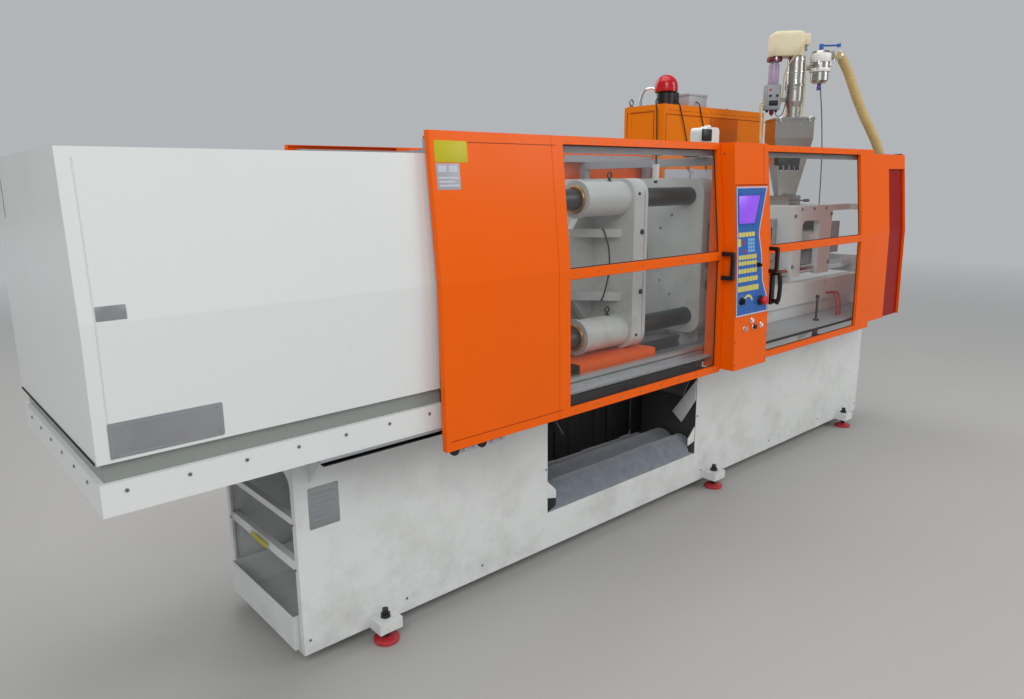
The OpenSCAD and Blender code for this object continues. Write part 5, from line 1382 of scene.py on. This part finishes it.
class MOULDING_OT_clamp(bpy.types.Operator):
    """Dresses the clamp: aluminium profile, wipers, eyes, bolts, sensor"""

    bl_idname = "moulding.clamp"
    bl_label = "Clamp"

    def execute(self, context):
        with piece("window_profile", MACHINE, "aluminium") as bm:
            section = [
                (-492, 865), (-492, 885), (-485, 885), (-485, 882), (-478, 882), (-478, 895),
                (-485, 895), (-485, 892), (-492, 892), (-492, 909), (-462, 909), (-462, 865),
            ]
            add_plate(bm, section, 1765, shift(-1360, 0, 0) @ PROFILE)
        with piece("profile_ends", MACHINE, "black_plastic") as bm:
            for x in (-1362, 402):
                add_block(bm, (x, -493, 865), (x + 5, -461, 910), 1.0)
        wiper = [(45.6, 0), (60, 0), (61, 2), (61, 7), (57, 11), (48, 12), (45.6, 9), (45.6, 0)]
        with piece("tie_bar_wipers", PLATEN, "bronze") as bm:
            for y, z in ((-310, 1030), (-310, 1650), (310, 1030), (310, 1650)):
                for x, way in ((-90, RIGHT), (-485, LEFT)):
                    add_lathe(bm, wiper, facing((x, y, z), way), 40)
        with piece("boss_eyes", PLATEN, "black_plastic") as bm:
            eye = circle(4, 10, 13)
            for z in (1650, 1030):
                top = z + 77
                add_post(
                    bm, -262, -310,
                    (top - 3, top + 16, 6, 16, 1.0),
                    (top - 3, top + 4, 13, 20, 1.5),
                )
                add_lathe(bm, eye, facing((-262, -310, top + 27), FRONT), 24)
        with piece("platen_bolts", PLATEN, "black_plastic") as bm:
            edge = facing((0, -400, 0), FRONT)
            add_bolts(bm, edge, [(-130, 1495), (-130, 1215)], 9, 7)
            add_screws(bm, edge, [(-155, 1010), (-155, 1670)], 7)
        with piece("platen_label", MACHINE, "white_plastic") as bm:
            label = rounded_outline(92, 60, 4, 3, 440, 1250)
            add_plate(bm, label, 1.2, facing((0, -400, 0), FRONT), 0.3)
        with piece("limit_sensor", MACHINE, "white_plastic") as bm:
            add_rod(bm, (-128, -468, 1728), (-128, -468, 1800), 15, 24, 3.0)
        with piece("limit_sensor_stem", MACHINE, "black_plastic") as bm:
            add_post(
                bm, -128, -468,
                (1798, 1842, 5, 14, 0.8),
                (1716, 1730, 8, 18, 1.5),
                (1836, 1842, 14, 20, 1.5),
            )
        with piece("frame_caps", MACHINE, "black_plastic") as bm:
            for x in (-1380, 425, 2485):
                add_block(bm, (x - 19, -494, 1878), (x + 19, -456, 1886), 2.5)
        return {"FINISHED"}


class MOULDING_OT_injection(bpy.types.Operator):
    """Dresses the injection unit: lining, valves, post, bolts and guard fittings"""

    bl_idname = "moulding.injection"
    bl_label = "Injection unit"

    def execute(self, context):
        posts = (1330, 1610, 1890, 2180)
        with piece("rear_lining", MACHINE, "plate") as bm:
            add_block(bm, (1050, 364, 905), (2200, 370.5, 1800), 2.0)
            for x in posts:
                add_block(bm, (x - 12, 352, 900), (x + 12, 366, 1806), 2.0)
        with piece("lining_screws", MACHINE, "steel") as bm:
            spots = [(x, z) for x in posts for z in (930, 1200, 1500, 1780)]
            add_screws(bm, facing((0, 352, 0), FRONT), spots, 5)
        valves = (930, 990, 1050, 1105)
        with piece("valve_block", MACHINE, "black_plastic") as bm:
            add_block(bm, (900, -490, 1800), (1130, -462, 1841), 4)
            for x in valves:
                add_rod(bm, (x, -488, 1802), (x, -488, 1776), 11, 20, 2.0)
        with piece("valve_caps", MACHINE, "chrome") as bm:
            for x in valves:
                add_rod(bm, (x, -488, 1778), (x, -488, 1766), 7, 16, 1.2)
        with piece("deck_post", MACHINE, "black_plastic") as bm:
            add_post(
                bm, 1560, -440,
                (864, 1010, 7, 18, 1.0),
                (864, 876, 18, 24, 2.0),
                (1004, 1024, 12, 24, 3.0),
            )
        with piece("carriage_bolts", CARRIAGE, "steel") as bm:
            for x in (1600, 2080):
                add_bolts(bm, facing((x, -240, 0), FRONT), [(0, 1180), (0, 1320), (0, 1500)], 9, 7)
            add_bolts(bm, facing((0, -240, 1540), FRONT), [(x, 0) for x in (1680, 1840, 2000)], 7, 6)
        with piece("guard_knob", PURGE, "black_plastic") as bm:
            add_rod(bm, (800, -189, 1420), (800, -204, 1420), 8, 18, 1.0)
            add_rod(bm, (800, -202, 1420), (800, -222, 1420), 18, 28, 5.0)
        with piece("guard_frame_strip", PURGE, "chrome") as bm:
            spots = [(x, z) for x in (660, 930) for z in (1500, 1560)]
            add_screws(bm, facing((0, -190, 0), FRONT), spots, 5)
        return {"FINISHED"}


STEPS = (
    MOULDING_OT_finishes,
    MOULDING_OT_stage,
    MOULDING_OT_hoses,
    MOULDING_OT_cover,
    MOULDING_OT_base,
    MOULDING_OT_doors,
    MOULDING_OT_panel_fields,
    MOULDING_OT_loader,
    MOULDING_OT_cabinet,
    MOULDING_OT_clamp,
    MOULDING_OT_injection,
)


class MOULDING_PT_panel(bpy.types.Panel):
    """Lists the settings and the steps that dress the machine"""

    bl_idname = "MOULDING_PT_panel"
    bl_label = "Moulding machine"
    bl_space_type = "VIEW_3D"
    bl_region_type = "UI"
    bl_category = "Moulding"

    def draw(self, context):
        column = self.layout.column()
        for settings in (context.scene.moulding_colours, context.scene.moulding_stage):
            for name in settings.__annotations__:
                column.prop(settings, name)
        for step in STEPS:
            column.operator(step.bl_idname)


CLASSES = (MouldingColours, MouldingStage, *STEPS, MOULDING_PT_panel)


def register():
    for made in CLASSES:
        bpy.utils.register_class(made)
    bpy.types.Scene.moulding_colours = bpy.props.PointerProperty(type=MouldingColours)
    bpy.types.Scene.moulding_stage = bpy.props.PointerProperty(type=MouldingStage)


def unregister():
    del bpy.types.Scene.moulding_stage
    del bpy.types.Scene.moulding_colours
    for made in reversed(CLASSES):
        bpy.utils.unregister_class(made)


def main():
    register()
    for step in STEPS:
        group, name = step.bl_idname.split(".")
        getattr(getattr(bpy.ops, group), name)()


if __name__ == "__main__":
    main()
